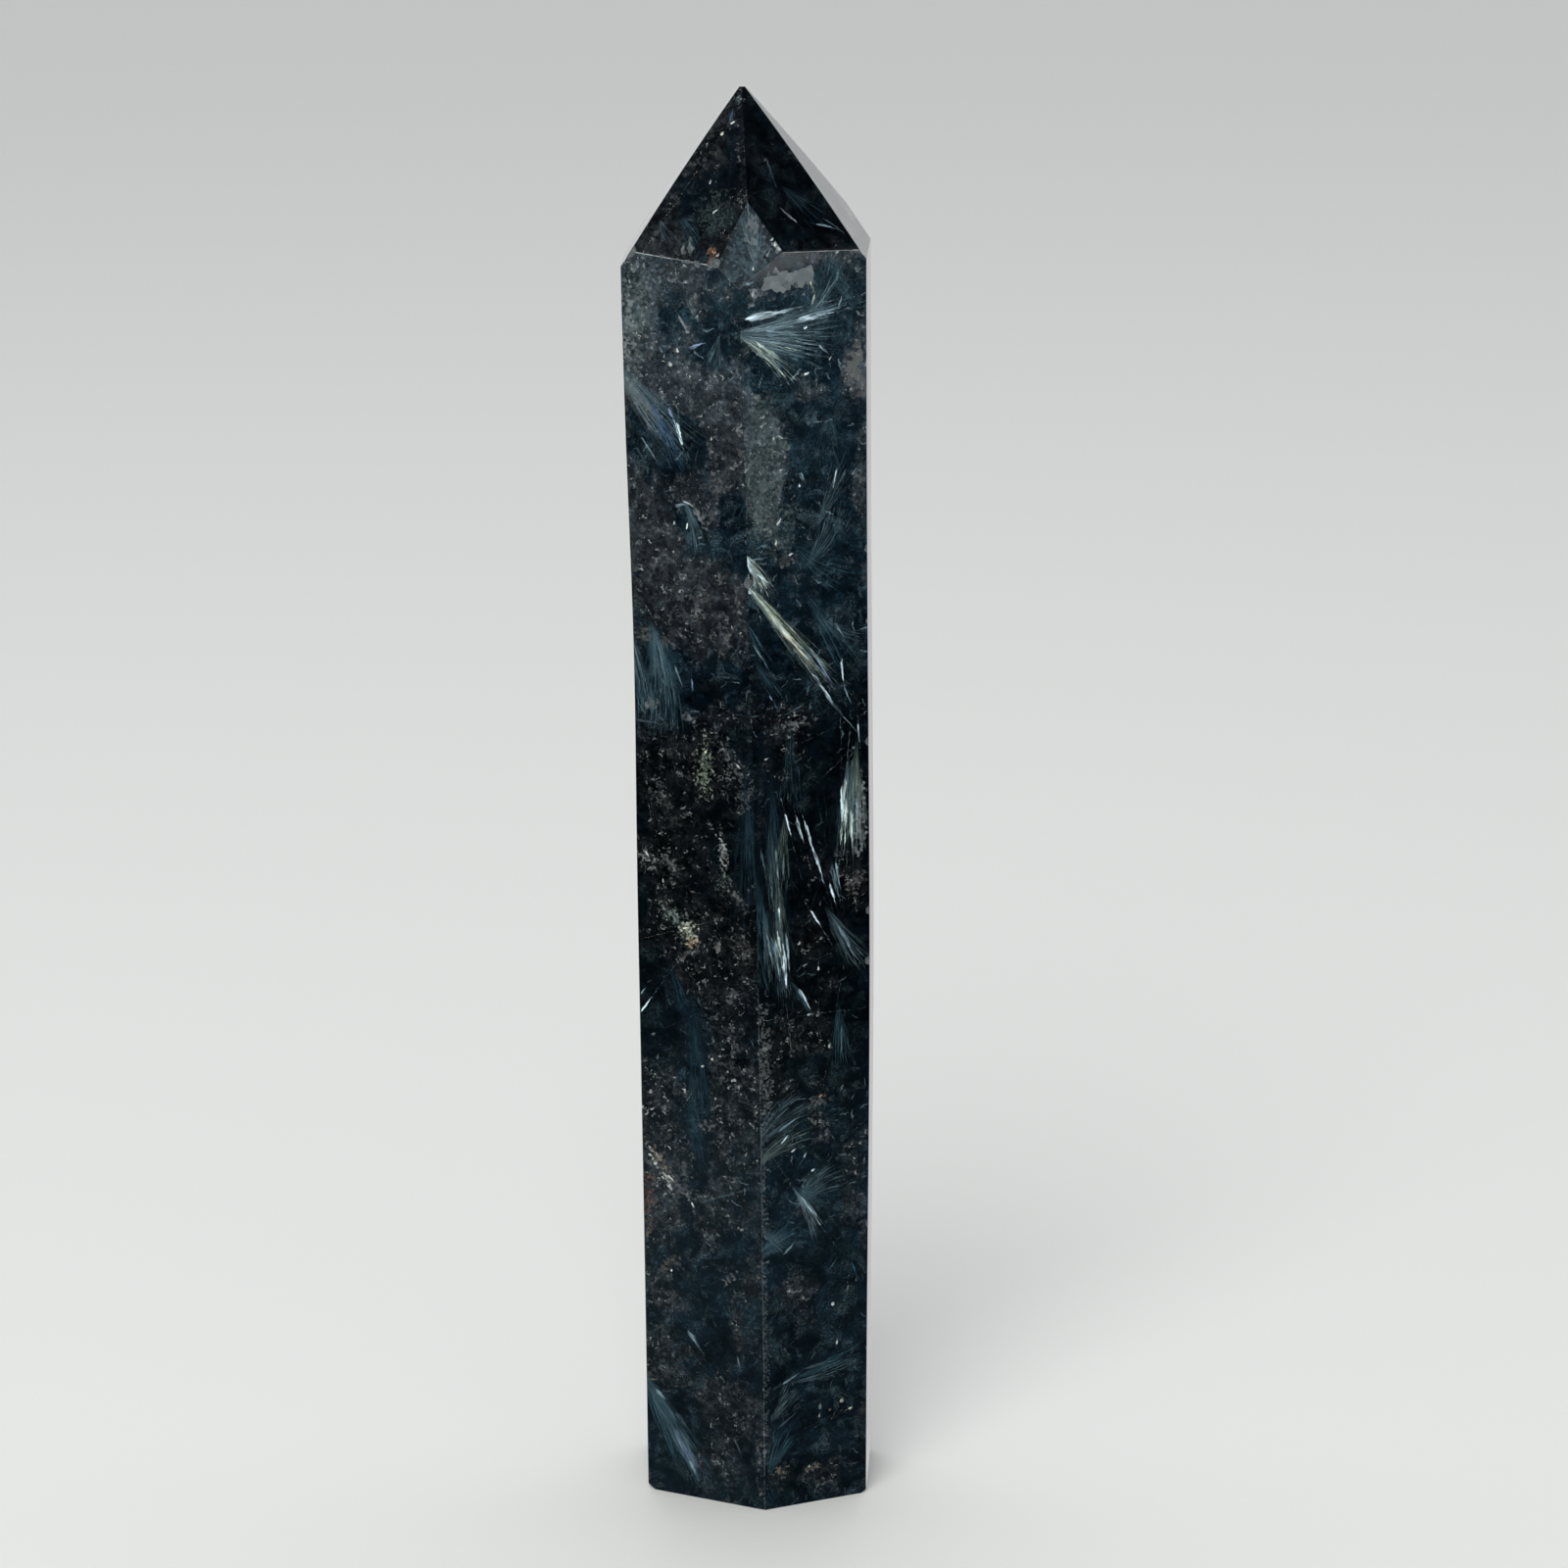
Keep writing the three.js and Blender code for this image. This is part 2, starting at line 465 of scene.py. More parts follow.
    def _scoops(self) -> bpy.types.Object:
        """Makes the rough pebbles whose bite leaves the chips and the nibbles.

        Returns:
            The pebbles, as one object.
        """
        rough = bmesh.new()
        for chip in self.chips:
            self._pebble(rough, chip, 3)
        dice = random.Random(self.seed)
        for run in self.nibble_runs:
            start, end = Vector(run.start), Vector(run.end)
            for _ in range(run.count):
                at = start.lerp(end, dice.random())
                radius = dice.uniform(0.35, 0.8)
                depth = run.depth * dice.uniform(0.5, 1.0)
                tilt = dice.uniform(-20, 20)
                bite = Chip(tuple(at), run.azimuth + dice.uniform(-12, 12), tilt, radius, depth)
                self._pebble(rough, bite, 2)
        return self._to_object(rough, "scoops")

    @staticmethod
    def _pebble(rough: bmesh.types.BMesh, chip: Chip, detail: int) -> None:
        """Adds one rough pebble that bites where the chip is.

        Args:
            rough: the mesh that it joins.
            chip: where it bites and how deep.
            detail: how finely it is divided.
        """
        made = bmesh.ops.create_icosphere(rough, subdivisions=detail, radius=chip.radius)
        middle = Vector(chip.at) + bearing(chip.azimuth, chip.tilt) * (chip.radius - chip.depth)
        for vertex in made["verts"]:
            lump = 1 + 0.12 * noise.noise(vertex.co / chip.radius * 1.6 + middle)
            vertex.co = vertex.co * lump + middle

    @staticmethod
    def _carve(body: bpy.types.Object, scoops: bpy.types.Object) -> bpy.types.Object:
        """Takes the scoops out of the stone.

        Args:
            body: the whole stone.
            scoops: what is cut away; it is removed afterwards.

        Returns:
            The carved stone, whose second slot holds the broken surfaces.
        """
        for place, solid in enumerate((body, scoops)):
            for part in ("polished", "broken"):
                solid.data.materials.append(bpy.data.materials.get(part) or bpy.data.materials.new(part))
            solid.data.polygons.foreach_set("material_index", [place] * len(solid.data.polygons))
        cut = body.modifiers.new("chips", "BOOLEAN")
        cut.operation = "DIFFERENCE"
        cut.solver = "EXACT"
        cut.use_self = True
        cut.object = scoops
        graph = bpy.context.evaluated_depsgraph_get()
        carved = bpy.data.meshes.new_from_object(body.evaluated_get(graph))
        body.modifiers.clear()
        old = body.data
        body.data = carved
        bpy.data.meshes.remove(old)
        carved.name = body.name
        spent = scoops.data
        bpy.data.objects.remove(scoops)
        bpy.data.meshes.remove(spent)
        return body

    def _smooth(self, mesh: bpy.types.Mesh) -> None:
        """Shades the soft bends smooth and leaves the arrises crisp."""
        mesh.shade_smooth()
        mesh.set_sharp_from_angle(angle=math.radians(self.sharp_bend))


# ---------------------------------------------------------------- node wiring


class Graph:
    """Wires a node tree by plain calls."""

    def __init__(self, tree: bpy.types.NodeTree) -> None:
        """Keeps the tree that the calls add nodes to."""
        self.tree = tree

    def add(self, kind: str, feeds: Feeds | None = None, **settings: object) -> bpy.types.Node:
        """Adds a node.

        Args:
            kind: the node's type, without its ShaderNode prefix.
            feeds: what its sockets take, by name or number.
            settings: its own settings.

        Returns:
            The node.
        """
        node = self.tree.nodes.new(kind if kind.startswith("Node") else "ShaderNode" + kind)
        for name, setting in settings.items():
            setattr(node, name, setting)
        for name, value in (feeds or {}).items():
            self.feed(node.inputs[name], value)
        return node

    def feed(self, socket: Socket, value: Value) -> None:
        """Links a socket, or sets it to a plain value or a tint."""
        if isinstance(value, bpy.types.NodeSocket):
            self.tree.links.new(value, socket)
        else:
            socket.default_value = value.linear() if isinstance(value, Tint) else value

    def math(self, operation: str, a: Value, b: Value = 0.0, c: Value = 0.0) -> Socket:
        """Returns the result of one sum."""
        return self.add("Math", {0: a, 1: b, 2: c}, operation=operation).outputs[0]

    def times(self, first: Value, *others: Value) -> Socket:
        """Returns the product of some values."""
        for other in others:
            first = self.math("MULTIPLY", first, other)
        return first

    def plus(self, a: Value, b: Value) -> Socket:
        """Returns a + b."""
        return self.math("ADD", a, b)

    def minus(self, a: Value, b: Value) -> Socket:
        """Returns a - b."""
        return self.math("SUBTRACT", a, b)

    def fused(self, a: Value, b: Value, c: Value) -> Socket:
        """Returns a * b + c."""
        return self.math("MULTIPLY_ADD", a, b, c)

    def vector(self, operation: str, a: Value, b: Value = (0.0, 0.0, 0.0)) -> Socket:
        """Returns the result of one vector sum."""
        node = self.add("VectorMath", {0: a, 1: b}, operation=operation)
        return node.outputs[1 if operation in ("LENGTH", "DOT_PRODUCT") else 0]

    def grow(self, vector: Value, factor: Value) -> Socket:
        """Returns a vector made longer by a factor."""
        return self.add("VectorMath", {0: vector, 3: factor}, operation="SCALE").outputs[0]

    def parts(self, vector: Socket) -> list[Socket]:
        """Returns a vector's three parts."""
        return list(self.add("SeparateXYZ", {0: vector}).outputs)

    def join(self, x: Value, y: Value = 0.0, z: Value = 0.0) -> Socket:
        """Returns a vector made of three parts."""
        return self.add("CombineXYZ", {0: x, 1: y, 2: z}).outputs[0]

    def after(self, place: Value, earlier: Value) -> Socket:
        """Makes a place wait for the layers below, so that a long pile is worked out one layer at a time.

        Args:
            place: where the next layer is read.
            earlier: what the layers below gave.

        Returns:
            The same place, within a hair.
        """
        return self.pushed(place, earlier, HAIR) if isinstance(earlier, bpy.types.NodeSocket) else place

    def pushed(self, place: Value, way: Value, far: float) -> Socket:
        """Returns a place moved along a direction, so many times as far."""
        feeds = {0: way, 1: (far,) * 3, 2: place}
        return self.add("VectorMath", feeds, operation="MULTIPLY_ADD").outputs[0]

    def span(self, value: Value, low: Value, high: Value, start: Value = 0.0, end: Value = 1.0) -> Socket:
        """Maps a value smoothly.

        Args:
            value: what is mapped.
            low, high: where the change starts and ends.
            start, end: what comes out at those two.

        Returns:
            The mapped value.
        """
        feeds = {0: value, 1: low, 2: high, 3: start, 4: end}
        return self.add("MapRange", feeds, interpolation_type="SMOOTHSTEP").outputs[0]

    def noise(self, vector: Value, scale: float, detail: float, rough: float, flat: bool = False) -> Socket:
        """Returns the strength of a cloudy noise."""
        return self.clouds(vector, scale, detail, rough, flat)[0]

    def clouds(
        self, vector: Value, scale: float, detail: float, rough: float, flat: bool = False
    ) -> tuple[Socket, Socket]:
        """Adds a cloudy noise.

        Args:
            vector: where it is read.
            scale: how many clouds there are to the unit.
            detail: its finer layers.
            rough: how strong those are.
            flat: whether two directions are enough.

        Returns:
            Its strength and its colour.
        """
        feeds = {"Vector": vector, "Scale": scale, "Detail": detail, "Roughness": rough}
        node = self.add("TexNoise", feeds, noise_dimensions="2D" if flat else "3D")
        return node.outputs[0], node.outputs[1]

    def cells(self, vector: Value, scale: Value, flat: bool = False) -> dict[str, Socket]:
        """Returns what a pattern of cells gives; flat, where two directions are enough."""
        size = "2D" if flat else "3D"
        return self.add("TexVoronoi", {"Vector": vector, "Scale": scale}, voronoi_dimensions=size).outputs

    def within(self, place: Value, middle: Value, turn: Value, size: Value) -> Socket:
        """Returns a place in a frame's own measure, from its middle and in its size."""
        feeds = {"Vector": place, "Location": middle, "Rotation": turn, "Scale": size}
        return self.add("Mapping", feeds, vector_type="TEXTURE").outputs[0]

    def blend(self, share: Value, under: Value, over: Value) -> Socket:
        """Lays one colour over another.

        Args:
            share: how much of the upper colour shows.
            under: the lower colour.
            over: the upper colour.

        Returns:
            The blended colour.
        """
        return self.add("Mix", {0: share, 6: under, 7: over}, data_type="RGBA").outputs[2]


class Tool:
    """A node group that is filled once and used many times."""

    def __init__(self, name: str, takes: dict[str, str], gives: dict[str, str]) -> None:
        """Makes the empty group.

        Args:
            name: the group's name.
            takes: its inputs, name to socket kind.
            gives: its outputs, name to socket kind.
        """
        self.tree = bpy.data.node_groups.new(name, "ShaderNodeTree")
        for way, sockets in (("INPUT", takes), ("OUTPUT", gives)):
            for label, kind in sockets.items():
                self.tree.interface.new_socket(label, in_out=way, socket_type="NodeSocket" + kind)
        self.graph = Graph(self.tree)
        self.given = self.graph.add("NodeGroupInput").outputs
        self.made = self.graph.add("NodeGroupOutput")

    def deliver(self, **results: Value) -> None:
        """Wires the results to the group's outputs."""
        for label, value in results.items():
            self.graph.feed(self.made.inputs[label], value)

    def use(self, graph: Graph, feeds: Feeds) -> dict[str, Socket]:
        """Places the group in another tree.

        Args:
            graph: where it is placed.
            feeds: what its inputs take.

        Returns:
            What it gives there.
        """
        return graph.add("Group", feeds, node_tree=self.tree).outputs


FIBRE_SIZES = (  # of each size of spray: its spacing in millimetres, colour, strength and fineness
    (8.5, TEAL, 0.95, 24.0),
    (3.6, SLATE, 0.85, 14.0),
    (1.7, SLATE, 0.8, 7.0),
)

MARK_INPUTS = {
    "Place": "Vector",
    "Color": "Color",
    "Root": "Vector",
    "Turn": "Vector",
    "Size": "Vector",
    "Curl": "Float",
    "Strength": "Float",
    "Tint": "Color",
}


def local_place(tool: Tool) -> Socket:
    """Returns the place in a mark's own measure, its root at zero and its tip at one."""
    return tool.graph.within(*(tool.given[name] for name in ("Place", "Root", "Turn", "Size")))


def spray_tool() -> Tool:
    """Makes the group that draws a fan of fibres, some longer and some brighter than others, the brightest
    a painted sheen.

    Returns:
        The tool.
    """
    own = dict.fromkeys(("Fan", "Streaks", "Haze", "Bare"), "Float")
    tool = Tool("spray", MARK_INPUTS | own, {"Color": "Color"})
    g, given = tool.graph, tool.given
    place = local_place(tool)
    x, y, _ = g.parts(place)
    reach = g.vector("LENGTH", place)
    bent = g.minus(g.math("ARCTAN2", y, x), g.times(given["Curl"], reach))
    turn = g.times(bent, given["Streaks"])
    far = g.times(reach, g.parts(given["Size"])[0])
    bundle_place = g.vector("ADD", g.join(turn, g.fused(far, 0.12, reach)), given["Root"])
    _, bundle = g.clouds(bundle_place, 1.0, 2.0, 0.6, flat=True)
    thick, length, side = g.parts(bundle)
    hair_place = g.join(g.times(turn, 3.1), g.fused(far, 0.4, reach))
    thin = g.noise(g.vector("ADD", hair_place, given["Root"]), 1.0, 2.0, 0.65, flat=True)
    split = g.span(reach, 0.1, 0.8, 0.25, 0.7)
    light = g.fused(split, g.minus(thin, thick), thick)
    end = g.span(length, 0.3, 0.7, 0.45, 1.08)
    faded = g.span(reach, g.minus(end, 0.4), end, 1.0, 0.0)
    rooted = g.span(reach, 0.0, g.fused(given["Haze"], 0.45, given["Bare"]))
    frayed = g.fused(g.minus(side, 0.5), given["Fan"], g.math("ABSOLUTE", bent))
    wide = g.span(frayed, g.times(given["Fan"], 0.4), given["Fan"], 1.0, 0.0)
    body = g.times(faded, rooted, g.times(wide, given["Strength"]))
    gap = g.fused(given["Haze"], -0.6, 0.6)
    dark = g.times(body, g.span(light, 0.38, 0.5, gap, 0.0))
    shaded = g.blend(dark, given["Color"], DEEP)
    soft = g.times(body, g.span(light, 0.38, 0.6, given["Haze"], 0.95))
    under = g.blend(soft, shaded, given["Tint"])
    # The brightest fibres are a painted sheen: the tint lifted 2.6 times.
    bright = g.times(body, g.span(light, 0.52, 0.66, 0.0, 0.95))
    tool.deliver(Color=g.blend(bright, under, g.grow(given["Tint"], 2.6)))
    return tool


def blade_tool() -> Tool:
    """Makes the group that draws one tapering blade, split lengthwise by fine lines; a bright blade is
    partly a painted highlight.

    Returns:
        The tool.
    """
    tool = Tool("blade", MARK_INPUTS, {"Color": "Color"})
    g, given = tool.graph, tool.given
    along, side, _ = g.parts(local_place(tool))
    long, half, _ = g.parts(given["Size"])
    bow = g.times(g.fused(along, along, g.times(along, -1.0)), given["Curl"])
    split_place = g.join(g.times(along, long, 0.45), g.times(side, half, 5.5))
    split, edge = g.clouds(g.vector("ADD", split_place, given["Root"]), 1.0, 2.0, 0.65, flat=True)
    wander = g.fused(g.parts(edge)[1], 1.5, -0.75)
    off = g.math("ABSOLUTE", g.plus(g.plus(side, bow), wander))
    taper = g.times(g.span(along, -0.04, 0.2), g.span(along, 0.3, 1.0, 1.0, 0.0))
    solid = g.span(g.math("DIVIDE", off, g.math("MAXIMUM", taper, 0.01)), 0.25, 1.0, 1.0, 0.0)
    drawn = g.times(solid, given["Strength"], g.span(split, 0.36, 0.56, 0.12, 1.0))
    # Lifting the tint along the splits is partly a painted highlight on the blade.
    tint = g.grow(given["Tint"], g.span(split, 0.4, 0.65, 0.75, 1.6))
    tool.deliver(Color=g.blend(drawn, given["Color"], tint))
    return tool


def patch_tool() -> Tool:
    """Makes the group that draws a ragged patch of small crystals, each wholly in it or out of it.

    Returns:
        The tool.
    """
    tool = Tool("patch", MARK_INPUTS | {"Grain": "Float"}, {"Color": "Color"})
    g, given = tool.graph, tool.given
    grain = g.cells(given["Place"], given["Grain"], flat=True)
    own = g.within(grain["Position"], given["Root"], given["Turn"], given["Size"])
    chance, shade, _ = g.parts(grain["Color"])
    cloud = g.noise(given["Place"], 0.8, 2.0, 0.6, flat=True)
    loose = g.fused(g.plus(chance, cloud), g.times(given["Curl"], 0.5), g.vector("LENGTH", own))
    limit = g.fused(given["Curl"], 0.5, 0.8)
    inside = g.span(g.minus(loose, limit), -0.12, 0.12, 1.0, 0.0)
    spread = ((0.85, 0.12), (0.95, 0.75), (1.06, 1.3))  # from coarse crystals to fine ones
    least, dull, bright = (g.span(given["Grain"], 1.2, 3.0, coarse, fine) for coarse, fine in spread)
    drawn = g.times(inside, given["Strength"], g.span(shade, 0.0, 0.9, least, 1.0))
    tint = g.grow(given["Tint"], g.span(shade, 0.4, 1.0, dull, bright))
    tool.deliver(Color=g.blend(drawn, given["Color"], tint))
    return tool


def ground_tool() -> Tool:
    """Makes the group that leans the ground to grains or fibres about a place, and sets its tone there.

    Returns:
        The tool.
    """
    takes = {name: MARK_INPUTS[name] for name in ("Place", "Root", "Turn", "Size")}
    tool = Tool("ground", takes | {"Shift": "Vector", "Before": "Vector"}, {"Lean": "Vector"})
    g, given = tool.graph, tool.given
    near = g.span(g.vector("LENGTH", local_place(tool)), 0.3, 1.15, 1.0, 0.0)
    shift = g.grow(given["Shift"], near)
    tool.deliver(Lean=g.vector("ADD", given["Before"], shift))
    return tool


def slivers(
    g: Graph, place: Socket, size: float, shape: Point, bend: float, rarity: float
) -> tuple[Socket, Socket]:
    """Strews slivers over a face, each lying its own way.

    Args:
        g: the graph that they are drawn in.
        place: where they are read, across the face and up it.
        size: the spacing of the slivers.
        shape: their half length and half width.
        bend: how much they curl.
        rarity: the share of them that is left out.

    Returns:
        Where they show, and each one's own luck.
    """
    cell = g.cells(place, 1 / size, flat=True)
    lucky, way, grade = g.parts(cell["Color"])
    off = g.vector("SUBTRACT", place, cell["Position"])
    spin = g.times(way, math.tau)
    cosine, sine = g.math("COSINE", spin), g.math("SINE", spin)
    along = g.vector("DOT_PRODUCT", off, g.join(cosine, sine))
    straight = g.vector("DOT_PRODUCT", off, g.join(g.times(sine, -1.0), cosine))
    across = g.fused(g.times(along, along), bend, straight)
    length, width = g.math("DIVIDE", along, shape[0]), g.math("DIVIDE", across, shape[1])
    stretched = g.vector("LENGTH", g.join(length, width))
    own = g.fused(g.math("POWER", grade, 2.0), 1.0, 0.35)
    drawn = g.span(g.math("DIVIDE", stretched, own), 0.6, 1.0, 1.0, 0.0)
    return g.times(drawn, g.span(lucky, rarity, rarity + 0.08)), grade


def matrix_tool() -> Tool:
    """Makes the group that draws the ground of the stone: blue-black fibres and mauve-brown grains.

    Its Place is in the solid, its Flat is across a face and up it. Its Lean holds lean, tone and glint.

    Returns:
        The tool.
    """
    takes = {"Place": "Vector", "Flat": "Vector", "Lean": "Vector"}
    gives = {"Color": "Color", "Roughness": "Float", "Relief": "Float"}
    tool = Tool("matrix", takes, gives)
    g, given = tool.graph, tool.given
    lean, tone, glitter = g.parts(given["Lean"])
    glitter = g.math("MAXIMUM", g.plus(glitter, 1.0), 0.0)
    glitter = g.times(glitter, g.span(tone, -2.2, -0.6, 0.6, 1.0))
    _, drift = g.clouds(given["Place"], 0.13, 2.0, 0.5)
    warped = g.vector("ADD", given["Place"], g.grow(g.vector("SUBTRACT", drift, (0.5, 0.5, 0.5)), 7.0))

    # Fibres: three sizes of spray, each a cell whose fibres run out from its own middle.
    haze = g.noise(warped, 0.32, 4.0, 0.65)
    fibres = g.blend(g.span(haze, 0.34, 0.7), DEEP, BLUE_BLACK)
    for size, tint, strength, fineness in FIBRE_SIZES:
        cell = g.cells(warped, 1 / size)
        spoke = g.vector("NORMALIZE", g.vector("SUBTRACT", warped, cell["Position"]))
        luck = g.grow(cell["Color"], 23.0)
        thread = g.noise(g.vector("ADD", g.grow(spoke, fineness), luck), 1.0, 3.0, 0.7)
        aim = g.vector("NORMALIZE", g.vector("SUBTRACT", cell["Color"], (0.5, 0.5, 0.5)))
        side = g.span(g.vector("DOT_PRODUCT", spoke, aim), -0.1, 0.7)
        lit = g.span(g.parts(cell["Color"])[0], 0.1, 0.7, 0.15, 1.0)
        ends = g.span(cell["Distance"], 0.25, 0.8, 1.0, 0.1)
        fan = g.times(side, lit, ends)
        drawn = g.times(fan, g.span(thread, 0.45, 0.64, 0.0, strength))
        fibres = g.blend(drawn, fibres, tint)

    # Grains: two sizes of dark crystal, mottled by clouds, the palest of them rosy.
    cloud = g.noise(given["Place"], 0.5, 5.0, 0.7)
    pick, other, third = g.parts(g.cells(given["Flat"], COARSE_GRAINS, flat=True)["Color"])
    small, glint, _ = g.parts(g.cells(given["Flat"], FINE_GRAINS, flat=True)["Color"])
    mottle = g.span(cloud, 0.36, 0.66)
    body = g.fused(g.math("POWER", small, 2.0), 0.35, g.times(g.math("POWER", pick, 2.0), 0.35))
    body = g.fused(mottle, 0.55, body)
    calm = g.span(tone, -1.1, 0.6, 0.0, 0.45)
    grains = g.blend(g.span(body, 0.05, 1.0, calm, 1.0), UMBER, MAUVE)
    cluster = g.span(g.noise(given["Place"], 0.33, 3.0, 0.7), 0.42, 0.62)
    rosy = g.times(g.span(other, 0.8, 0.88), cluster)
    grains = g.blend(g.times(rosy, 0.5), grains, ROSE)
    web = g.noise(given["Flat"], 0.9, 3.0, 0.75, flat=True)
    # Pale crumbs: partly real crystals, partly painted glints.
    crumbs = g.span(web, 0.58, 0.66)
    pale = g.times(g.span(glint, 0.55, 1.0, 0.0, 0.65), crumbs, glitter)
    grains = g.blend(pale, grains, ASH)

    domain = g.fused(lean, 0.6, g.noise(warped, 0.14, 6.0, 0.72))
    granular = g.span(domain, 0.43, 0.57)
    color = g.blend(granular, fibres, grains)
    # A raised tone is partly a painted reflection veil: lighter stretches are brightened and take a bluish
    # haze.
    color = g.blend(g.span(tone, 0.0, 1.2, 0.0, 0.15), color, HAZE)
    grit = g.noise(given["Flat"], 2.6, 1.0, 0.7, flat=True)
    coarseness = g.fused(g.times(granular, cluster), 2.2, 3.2)
    smooth = g.fused(g.times(calm, granular), -0.9, 1.0)
    smooth = g.times(smooth, g.span(tone, -2.2, -0.8, 0.6, 1.0))
    coarseness = g.times(coarseness, g.times(smooth, g.span(glitter, 0.0, 0.2, 0.45, 1.0)))
    raised = g.times(g.math("MAXIMUM", tone, 0.0), g.span(granular, 0.0, 1.0, 0.3, 1.0))
    own = g.plus(g.math("MINIMUM", tone, 0.0), raised)
    light = g.fused(g.minus(grit, 0.5), coarseness, own)
    light = g.fused(g.minus(mottle, 0.6), g.fused(calm, -0.2, 1.3), light)
    crack = g.span(g.math("ABSOLUTE", g.minus(web, 0.46)), 0.0, 0.04, -1.1, 0.0)
    light = g.fused(crack, g.span(granular, 0.0, 1.0, 0.3, 1.0), light)
    color = g.grow(color, g.math("POWER", 2.0, light))

    # Slivers: thin pale needles in the fibres, stubby chips of light among the grains, specks and fine
    # threads; each partly a pale crystal, partly a painted glint.
    needle_glint, grade = slivers(g, given["Flat"], 1.3, (0.7, 0.075), 0.15, 0.62)
    shown = g.times(needle_glint, glitter, g.span(granular, 0.2, 0.9, 0.6, 0.15))
    color = g.blend(g.times(shown, g.span(grade, 0.3, 1.0, 0.2, 0.95)), color, STEEL)
    chip, grade = slivers(g, given["Flat"], 0.7, (0.34, 0.1), 2.2, 0.64)
    knot = g.span(g.noise(given["Flat"], 0.5, 3.0, 0.8, flat=True), 0.48, 0.64, 0.03, 1.0)
    thick = g.fused(g.times(granular, knot), 0.95, 0.03)
    shown = g.times(chip, glitter, thick)
    color = g.blend(g.times(shown, g.span(grade, 0.1, 0.9, 0.1, 1.0)), color, CHALK)

    speck, grade = slivers(g, given["Flat"], 0.42, (0.2, 0.055), 2.5, 0.6)
    knot = g.span(g.noise(given["Flat"], 0.6, 3.0, 0.8, flat=True), 0.53, 0.63)
    shown = g.times(speck, glitter, g.times(granular, knot))
    color = g.blend(g.times(shown, g.span(grade, 0.2, 1.0, 0.2, 1.0)), color, CHALK)
    thread = g.span(g.math("ABSOLUTE", g.minus(web, 0.55)), 0.0, 0.025, 0.75, 0.0)
    gate = g.span(third, 0.5, 0.7)
    shown = g.times(thread, gate, g.times(granular, knot))
    color = g.blend(shown, color, CHALK)

    polish = g.span(granular, 0.0, 1.0, 0.06, 0.1)
    relief = g.times(g.noise(given["Place"], 1.7, 2.0, 0.6), g.span(granular, 0.0, 1.0, 0.4, 1.0))
    tool.deliver(Color=color, Roughness=polish, Relief=relief)
    return tool


# ---------------------------------------------------------------- markings


@dataclass(frozen=True)
class Mark:
    """A marking on a face: its root and tip, across the face and up the stone, and its look.

    Args:
        root, tip: where it starts and ends.
        tint: its colour.
        strength: how plainly it shows.
        curl: how much it bends.
    """

    root: Point
    tip: Point
    tint: Tint
    strength: float = 1.0
    curl: float = 0.0

    def length(self) -> float:
        """Returns the distance from root to tip."""
        return math.dist(self.root, self.tip)

    def half_width(self) -> float:
        """Returns how far the mark spreads to either side."""
        return 0.5

    def touches(self, low: float, high: float) -> bool:
        """Tells whether the mark can reach between two heights.

        Args:
            low: the lower height.
            high: the higher one.

        Returns:
            Whether it can.
        """
        middle = (self.root[1] + self.tip[1]) / 2
        half = self.length() / 2 + self.half_width()
        return middle - half < high and middle + half > low

    def feeds(self) -> Feeds:
        """Returns what the mark's group takes, apart from the place and the colour below."""
        turn = math.atan2(self.tip[1] - self.root[1], self.tip[0] - self.root[0])
        return {
            "Root": (*self.root, 0.0),
            "Turn": (0.0, 0.0, turn),
            "Size": self.size(),
            "Curl": self.curl,
            "Strength": self.strength,
            "Tint": self.tint,
        }

    def size(self) -> Spot:
        """Returns the mark's own unit along and across it."""
        return (self.length(), self.length(), FLAT)


@dataclass(frozen=True)
class Spray(Mark):
    """A fan of fibres.

    Args:
        fan: its half angle in degrees.
        streaks: fibres to the radian.
        haze: what fills their gaps.
        bare: the share of its reach over which it comes up.
    """

    fan: float = 20.0
    streaks: float = 9.0
    haze: float = 0.15
    bare: float = 0.08

    def half_width(self) -> float:
        """Returns how far the fan spreads to either side."""
        return self.length() * math.sin(math.radians(min(self.fan, 90))) + 0.5

    def feeds(self) -> Feeds:
        """Returns what the spray's group takes."""
        own = {"Streaks": self.streaks, "Haze": self.haze, "Bare": self.bare}
        return super().feeds() | own | {"Fan": math.radians(self.fan)}


@dataclass(frozen=True)
class Blade(Mark):
    """One tapering blade. width: across its widest part."""

    width: float = 0.4

    def size(self) -> Spot:
        """Returns the blade's own unit along and across it."""
        return (self.length(), self.width / 2, FLAT)


@dataclass(frozen=True)
class Patch(Mark):
    """A ragged patch of crystals about its root.

    Args:
        half: its half sizes.
        grain: how many crystals go to the millimetre.
    """

    curl: float = 1.0
    half: Point = (1.0, 1.0)
    grain: float = 3.0

    def half_width(self) -> float:
        """Returns how far the patch spreads."""
        return max(self.half) * 1.3

    def size(self) -> Spot:
        """Returns the patch's own unit along and across it."""
        return (*self.half, FLAT)

    def feeds(self) -> Feeds:
        """Returns what the patch's group takes."""
        return super().feeds() | {"Grain": self.grain}


@dataclass(frozen=True)
class Ground:
    """A stretch of the ground.

    Args:
        middle: its middle, across the face and up it.
        half: its half sizes along and across its own direction.
        lean: how far it leans towards grains, or towards fibres where negative.
        tone: how much lighter it is, in doublings.
        turn: its direction, in degrees.
        glint: how much more it glitters; at -1 not at all.
    """

    middle: Point
    half: Point
    lean: float
    tone: float = 0.0
    turn: float = 0.0
    glint: float = 0.0

    def touches(self, low: float, high: float) -> bool:
        """Returns whether it can reach between two heights."""
        half = max(self.half) * 1.15
        return self.middle[1] - half < high and self.middle[1] + half > low

    def feeds(self) -> Feeds:
        """Returns what the ground's group takes, apart from the place and the lean before."""
        return {
            "Root": (*self.middle, 0.0),
            "Turn": (0.0, 0.0, math.radians(self.turn)),
            "Size": (*self.half, FLAT),
            "Shift": (self.lean, self.tone, self.glint),
        }


